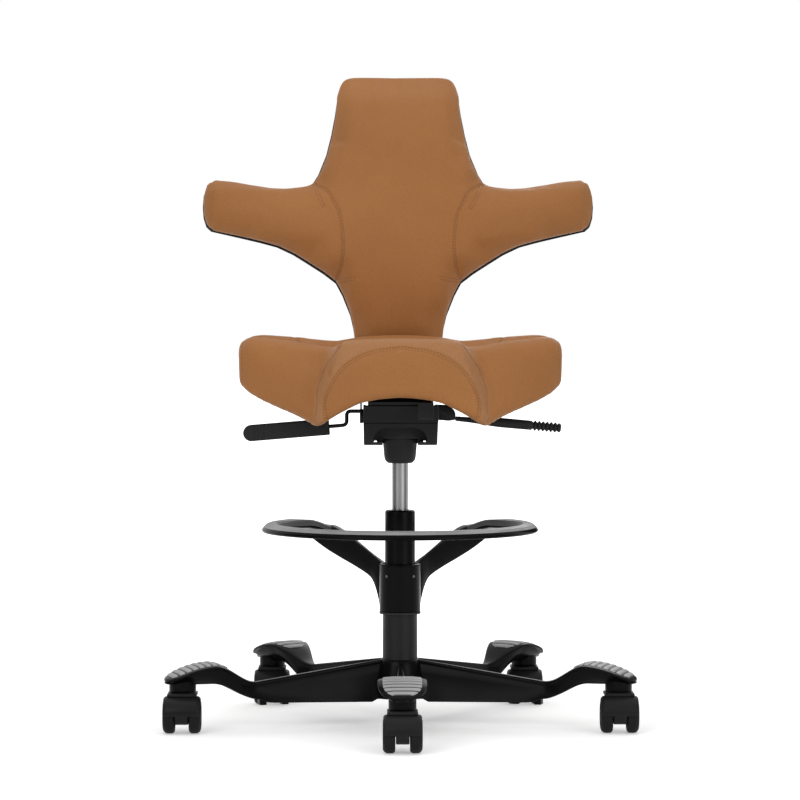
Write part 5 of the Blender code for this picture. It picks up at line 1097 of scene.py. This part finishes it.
def pad_ring(reach, rise):
    """A section across a pad, following the leg's crown."""
    top, _, half = leg_line(reach)
    middle, length = (PAD_START + PAD_END) / 2, (PAD_END - PAD_START) / 2
    share = min(1.0, abs(reach - middle) / length)
    own = 27 * max(0.3, max(0.0, 1 - share ** 3.4) ** 0.42)
    half = max(2, min(own, half - 3.8))
    high = top + 0.9 + rise
    crown = 1.5 * (half / 27) ** 2
    return with_left(reach, [(half, top - 2), (half, high - 0.9 - crown), (half - 0.35, high - 0.25 - crown),
                             (half - 1.2, high - crown), (half / 2, high - crown / 4)])


def make_pads():
    pitch = (PAD_END - PAD_START) / PAD_RIBS
    sections = []
    for i in range(PAD_RIBS):
        sections += [pad_ring(PAD_START + pitch * (i + share), rise) for share, rise in PAD_RIB]

    # 1 on the rib tops, 0 in the grooves, where the material paints shade.
    def rib(point):
        share = ((point.x / MM - PAD_START) / pitch) % 1
        return (0.82 - share) / 0.08 if share > 0.4 else (share - 0.04) / 0.08

    for i in CASTORS:
        pad = lofted(f"step_pad_{i}_ribbed", sections)
        painted(pad, "rib", rib)
        finished(spun(pad, leg_angle(i)), "base", STEP_RUBBER, "step_rubber", f"step_pad_{i}", 50)


def make_wheel(number, side, word):
    """A castor wheel with a rounded tread, a moulded groove and a dished hub."""
    node_name = f"castor_{number}_wheel_{word}"
    low, high = box_of(node_name)
    radius, half = (high.z - low.z) / 2, (high.x - low.x) / 2
    profile = [(3.2, 2.5 - half), (8.5, 2.5 - half), (9.5, 3 - half), (19, 3 - half), (20, -half),
               (radius - 2.6, -half), (radius - 0.5, 2.2 - half), (radius, 4 - half), (radius, half - 6.2),
               (radius - 0.7, half - 3.8), (radius - 2.2, half - 1.8), (radius - 4.4, half - 0.4),
               (radius - 6, half), (18.2, half), (17.4, half - 1.6), (10.5, half - 1.6), (9.5, half - 0.2),
               (3.2, half - 0.2)]
    wheel = lathed(f"castor_{number}_{word}_tyre", rounded(profile, 0.8), 56, True)
    turned_to(wheel, (low + high) / 2 * MM, (side, 0, 0))
    finished(wheel, f"castor_{number}_{word}", TYRE_BLACK, "castor_tyre", node_name)


def make_hood(number):
    """A hood that wraps the wheels' full width, with a tongue between them and a flat top round the stem."""
    left, right = (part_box(f"castor_{number}_wheel_{word}") for _, word in SIDES)
    sections = []
    for k in range(31):
        angle = math.radians(blend(3, 152, k / 30))
        thick = blend(0.5, 1, min(1.0, k / 3))
        edge = [(22.8, 0), (25.6, -1.6), (26.2, -1.2), (25.4, 0.2), (24, 1.3 * thick), (21.6, 2.1 * thick)]
        points = [(x, HOOD_RADIUS + rise) for x, rise in [(-x, rise) for x, rise in edge] + edge[::-1]]
        sections.append([(x, -math.cos(angle) * r, math.sin(angle) * r) for x, r in points])
    shield = lofted("shield", sections)
    arc = [math.radians(a) for a in range(2, 153, 6)]
    outline = [(-24, -9), (-25.6, -4)] + [(-26.6 * math.cos(a), 26.6 * math.sin(a)) for a in arc]
    outline = rounded(outline + list(HOOD_REAR), 2, 2, True)
    web = lofted("web", [[(x, y * (1 - inset / 24), z * (1 - inset / 24)) for y, z in outline]
                         for x, inset in WEB_INSETS])
    top = rounded_block("top", (-21, -9, 26.6), (21, 36, 31.5), 1.8)
    boss = lathed("boss", rounded([(1, 8), (8.6, 8), (8.6, 28.5), (1, 28.5)], 0.5))
    hood = merged(f"castor_{number}_cover", [shield, web, top, moved(boss, (0, CASTOR_TRAIL, 0))])
    moved(hood, (left[0] + right[1]) / 2)
    finished(hood, f"castor_{number}", CASTOR_BLACK, "matte_black", f"castor_{number}_hood", 40)


def make_castors():
    for i in CASTORS:
        make_hood(i)
        for side in SIDES:
            make_wheel(i, *side)


def chamfered(low, high, inner, outer, below, above):
    """The profile of a tube with a chamfer at each end."""
    return [(inner, low), (outer - below, low), (outer, low + below), (outer, high - above),
            (outer - above, high), (inner, high)]


def make_column():
    low, high = box_of("column_tube")
    column = lathed("column_skin", chamfered(low.z, high.z, 22, 25, 0.8, 0.8), closed=True)
    finished(column, "base", BLACK_STEEL, "black_steel", "column_tube")
    low, high = box_of("guide_sleeve")
    outer, top = (high.x - low.x) / 2, high.z
    profile = rounded([(outer, low.z), (outer, top - 2.2), (outer - 2.2, top), (13.2, top),
                               (12.6, top - 1.2), (12.2, top - 4), (12.2, low.z)], 0.5)
    sleeve = lathed("guide_sleeve_skin", profile, closed=True)
    finished(sleeve, "base", GLOSS_BLACK, "gloss_black", "guide_sleeve")


# Mechanism
BOOT_OUTSIDE = ((11.9, 376.9), (17.8, 377.1), (21.8, 381.2), (23, 387), (23.9, 399), (24.8, 408.4),
                (25.7, 410.2), (25.8, 414.6), (24.3, 416.4), (24.3, 420.5), (24.8, 421.2), (24.8, 423.6),
                (24.2, 424.4), (24, 428.4), (21, 429.4), (11.9, 429.4))
HOUSING_LEVELS = ((405, 51.6, -54.8, 71), (406.2, 52.4, -55.8, 71.8), (435.8, 52.8, -56, 72),
                  (436.6, 52.9, -55.2, 72), (437.4, 53.1, -56.2, 72.2), (460.6, 53.2, -56.2, 72.2),
                  (462, 52, -55, 71))
ARCH = ((-38.2, 409.6), (38.2, 409.6), (38, 416), (34, 424), (25, 429), (0, 430), (-25, 429), (-34, 424),
        (-38, 416))
REAR_SLOPE = ((-28, 463), (80, 447.7), (80, 480), (-28, 480))
SLOT_FLOORS = ((-80, 409.5), (-54, 409.5), (-50, 400), (90, 400))
SLOT_X, SLOT_HALF, SLOT_TOP = 35.7, 2.5, 410.4
LEVER_BOSS = (-53, 0, 444.8)
HOUSING_WIDENING = (0.4, 2)
SIDE_COVER = ((50, 439.4), (60, 439.2), (70, 438.2), (79.6, 439.6), (80.2, 449), (77, 455.4), (68, 460.6),
              (50, 461.4))
SIDE_COVER_INSETS = ((-15, 1.8), (-14.2, 0.5), (-13, 0), (13, 0), (14.2, 0.5), (15, 1.8))
SPRING_WIRE = 1.6 * MM
SPRING_TURNS = 3.5
SPRING_POINTS = 84


def make_boot():
    boot = lathed("taper_boot_skin", rounded(BOOT_OUTSIDE, 1.5, 3, True), closed=True)
    finished(boot, "lift", MATTE_BLACK, "matte_black", "taper_boot", 38)
    low, high = box_of("gas_cylinder")
    profile = chamfered(low.z, high.z, 5.6, (high.x - low.x) / 2, 0.8, 1.2)
    cylinder = lathed("gas_cylinder_skin", profile, 96, True)
    finished(cylinder, "lift", STEEL, "bright_steel", "gas_cylinder")


def side_cover():
    """The rounded cover over the tension shaft, from the front a block with one big round corner below."""
    face = rounded(SIDE_COVER, 2.4, 4, True)
    sections = []
    for y, inset in SIDE_COVER_INSETS:
        sections.append([(x - inset * (x > 60), y, z + inset * (1 if z < 449 else -1)) for x, z in face])
    return lofted("side_cover", sections)


def make_housing():
    sections = []
    for z, half, front, rear in HOUSING_LEVELS:
        right = half + blend(*HOUSING_WIDENING, (z - 405) / 57)
        plan = rounded([(-half, front), (right, front), (right, rear), (-half, rear)], 2.6, 4, True)
        sections.append([(x, y, z) for x, y in plan])
    body = lofted("housing_body", sections)
    arch = rounded(ARCH, 3, 3, True)
    cut(body, lofted("pocket", [[(x, y, z) for x, z in arch] for y in (-62, -30)]),
        lathed("well", [(0, 400), (26.2, 400), (26.2, 430.2), (0, 430.2)], 48),
        rounded_block("mouth", (-25.4, -70, 400), (25.4, 0, 413), 0.5),
        rounded_block("trough", (-49.5, -52.4, 434.6), (49.5, 68.5, 470), 0.6),
        lofted("wedge", [[(x, y, z) for y, z in REAR_SLOPE] for x in (-70, 70)]))
    for side, _ in SIDES:
        near, far = side * SLOT_X - SLOT_HALF, side * SLOT_X + SLOT_HALF
        cut(body, lofted("slot", [[(near, y, low), (far, y, low), (far, y, SLOT_TOP), (near, y, SLOT_TOP)]
                                  for y, low in SLOT_FLOORS]))
    boss = lathed("boss", rounded([(0, 0), (10.4, 0), (10.4, 5.2), (0, 5.2)], 1.6), 40)
    turned_to(boss, Vector(LEVER_BOSS) * MM, (-1, 0, 0))
    post = rounded_block("post", (-57.6, -3.2, 452), (-55, 3.2, 464), 0.6)
    housing = merged("tilt_housing_skin", [body, side_cover(), boss, post])
    finished(housing, "lift", MATTE_BLACK, "matte_black", "tilt_housing", 32)
    apron = rounded_block("carrier_apron", (-46, -51.6, 454), (46, -48.8, 489), 0.8)
    finished(apron, "tilt", MATTE_BLACK, "matte_black", None, 32)


def make_spring():
    """The tilt spring as a fixed coil; the real one shortens as the seat carrier comes down on it."""
    low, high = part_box("tilt_spring")
    middle = (low + high) / 2
    radius = (high.x - low.x) / 2 - SPRING_WIRE
    points = []
    for k in range(SPRING_POINTS + 1):
        turn = k / SPRING_POINTS * SPRING_TURNS
        angle = math.tau * turn
        height = blend(low.z + SPRING_WIRE, high.z - SPRING_WIRE, clamp((turn - 0.5) / (SPRING_TURNS - 1)))
        points.append((middle.x + radius * math.cos(angle), middle.y + radius * math.sin(angle), height))
    spring = tube("tilt_spring_coil", points, SPRING_WIRE, 10)
    finished(spring, "lift", STEEL, "bright_steel", "tilt_spring", 60)
    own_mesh(spring)


# Controls
LEVER_PATH = ((-46, 451.9), (-77, 451.9), (-77, 431.9), (-119, 428.4))
LEVER_WIRE = 2.75 * MM
PADDLE_START = Vector((-102, 0, 429.6))
PADDLE_SLOPE = math.radians(4.7)
PADDLE_LENGTH, PADDLE_HALF, PADDLE_THICK = 125, 11.8, 9.4
PADDLE_GROOVES = ((117, 1.4), (112, 1.2), (107, 1.6), (103, 1.2), (93.5, 1.8))
HANDLE_PLACE = Vector((80, 0, 441.6)) * MM
HANDLE_SLOPE = math.radians(5.1)
HANDLE_LENGTH = 154
GRIP_DROP = 0.5 * MM
HANDLE_NECK = ((0, 0), (3.4, 0.4), (3.6, 6), (3.9, 20), (5.2, 40), (6.5, 54), (7, 66), (6.9, 100))
HANDLE_RIBS = 7
RIB_PITCH = 5.8
RIB = ((0.05, 4.9), (0.14, 4.8), (0.24, 5.6), (0.36, 6.8), (0.5, None), (0.66, None), (0.8, 6.8), (0.9, 5.6))
# Name, body, material and slot, edge width, segments and angle limit of its rounding, and smoothing angle
EASED = (
    ("seat_carrier", "tilt", BLACK_STEEL, "black_steel", 0.8, 2, 30, 35),
    ("depth_lever", "depth_release", MATTE_BLACK, "matte_black", 1.4, 3, 30, 40),
    ("back_bar", "tilt", BLACK_STEEL, "black_steel", 1.2, 3, 40, 40),
    ("back_slider", "back", MATTE_BLACK, "matte_black", 1.6, 3, 30, 40),
)


def make_lever():
    path = rounded(LEVER_PATH, 6.5, 6)
    wire = tube("height_lever_wire", [(x * MM, 0, z * MM) for x, z in path], LEVER_WIRE, 20)
    finished(wire, "lever", BLACK_STEEL, "black_steel", "height_lever", 50)
    along = Vector((-math.cos(PADDLE_SLOPE), 0, -math.sin(PADDLE_SLOPE)))
    up = Vector((along.z, 0, -along.x))
    straight = PADDLE_LENGTH - PADDLE_HALF
    stops = [0, 0.5, 1.4] + [2 + 1.1 * k for k in range(int((straight - 3) / 1.1))]
    stops += [straight + PADDLE_HALF * math.sin(math.pi / 2 * k / 14) for k in range(1, 15)]
    sections = []
    for s in sorted(set(round(stop, 3) for stop in stops)):
        nose = max(0.0, (s - straight) / PADDLE_HALF) ** 2
        end = max(0.0, 1 - s / 1.4)
        high = max(0.6, PADDLE_HALF * math.sqrt(max(0.0, 1 - nose)))
        deep = PADDLE_THICK * (1 - 0.35 * nose) - 1.6 * end
        deep -= sum(0.85 * math.exp(-((s - place) / width) ** 2 * 2.2) for place, width in PADDLE_GROOVES)
        high -= end
        corners = [(-deep, -high), (deep, -high), (deep, high), (-deep, high)]
        plan = rounded(corners, min(3.4, high * 0.6), 5, True)
        sections.append([PADDLE_START + along * s + Vector((0, a, 0)) + up * b for a, b in plan])
    paddle = lofted("height_paddle_skin", sections)
    finished(paddle, "lever", MATTE_BLACK, "matte_black", "height_paddle", 45)


def make_handle():
    direction = Vector((math.cos(HANDLE_SLOPE), 0, -math.sin(HANDLE_SLOPE)))
    ribs_at = HANDLE_LENGTH - HANDLE_RIBS * RIB_PITCH - 1
    profile = list(HANDLE_NECK) + [(6.8, ribs_at - 2)]
    for i in range(HANDLE_RIBS):
        crest = 7.3 if i < HANDLE_RIBS - 1 else 6.4
        profile += [(height or crest, ribs_at + RIB_PITCH * (i + share)) for share, height in RIB]
    profile += [(4.4, HANDLE_LENGTH - 0.6), (0, HANDLE_LENGTH - 0.2)]
    grip = turned_to(lathed("grip", profile, 40), HANDLE_PLACE - Vector((0, 0, GRIP_DROP)), direction)
    shaft = lathed("shaft", [(0, -9.8), (2.4, -9.8), (2.4, 1), (0, 1)], 24)
    turned_to(shaft, HANDLE_PLACE, direction)
    handle = merged("tension_handle_grip", [grip, shaft])
    finished(handle, "handle", MATTE_BLACK, "matte_black", "tension_handle", 50)


def eased(name, source, width, segments, limit_deg):
    """A copy of a solid with its edges rounded."""
    obj = linked(name, NODES[source].data.copy())
    modified(obj, "DECIMATE", decimate_type="DISSOLVE", angle_limit=math.radians(2))
    modified(obj, "BEVEL", width=width * MM, segments=segments, limit_method="ANGLE", harden_normals=False,
             angle_limit=math.radians(limit_deg), use_clamp_overlap=True, miter_outer="MITER_ARC")
    obj.data.transform(NODES[source].matrix_world)
    return obj


def make_knob():
    low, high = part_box("back_knob")
    depth = (high.y - low.y) / MM
    sections = []
    for s, radius, wave in ((0, 4.4, 0), (depth - 21, 4.4, 0), (depth - 20.6, 14, 0), (depth - 19, 18, 0.4),
                            (depth - 16, 20.2, 1), (depth - 4, 20.2, 1), (depth - 1.2, 18.8, 0.7),
                            (depth, 15.5, 0)):
        angles = [math.tau * k / 144 for k in range(144)]
        reaches = [radius + wave * 0.8 * math.cos(12 * a) for a in angles]
        sections.append([(math.cos(a) * r, s, math.sin(a) * r) for a, r in zip(angles, reaches)])
    knob = moved(lofted("back_knob_skin", sections), ((low.x + high.x) / 2, low.y, (low.z + high.z) / 2))
    finished(knob, "knob", MATTE_BLACK, "matte_black", "back_knob")


def make_eased():
    for name, body, material, slot, width, segments, limit_deg, smooth_deg in EASED:
        obj = eased(f"{name}_skin", name, width, segments, limit_deg)
        finished(obj, body, material, slot, name, smooth_deg)


# Carried-over solids
CARRIED = (
    ("star_base footring_frame guide_sleeve", GLOSS_BLACK),
    ("taper_boot tilt_housing seat_shell back_slider back_knob depth_lever height_paddle tension_handle"
     " back_shell footring_bush", MATTE_BLACK),
    ("seat_carrier back_bar height_lever column_tube", BLACK_STEEL),
    ("footring_tread", RING_RUBBER),
    ("gas_cylinder piston_rod release_button tilt_axle column_clip thrust_bearing", STEEL),
    ("footring_screw_left footring_screw_right", SCREW_STEEL),
)


def carry_over():
    """Gives the solids that no piece stands for, and those behind a piece, their materials."""
    for names, material in CARRIED:
        for name in names.split():
            dressed(NODES[name].data, material)
    for i in CASTORS:
        dressed(NODES[f"step_pad_{i}"].data, STEP_RUBBER)
        for word, material in (("hood", CASTOR_BLACK), ("stem", STEEL), ("axle", STEEL),
                               ("wheel_left", TYRE_BLACK), ("wheel_right", TYRE_BLACK)):
            dressed(NODES[f"castor_{i}_{word}"].data, material)


bpy.context.scene.view_settings.view_transform = "Standard"
for step in (make_camera, make_floor, make_light, carry_over, make_seat, make_back, make_ring, make_base,
             make_castors, make_column, make_boot, make_housing, make_spring, make_lever, make_handle,
             make_eased, make_knob):
    step()
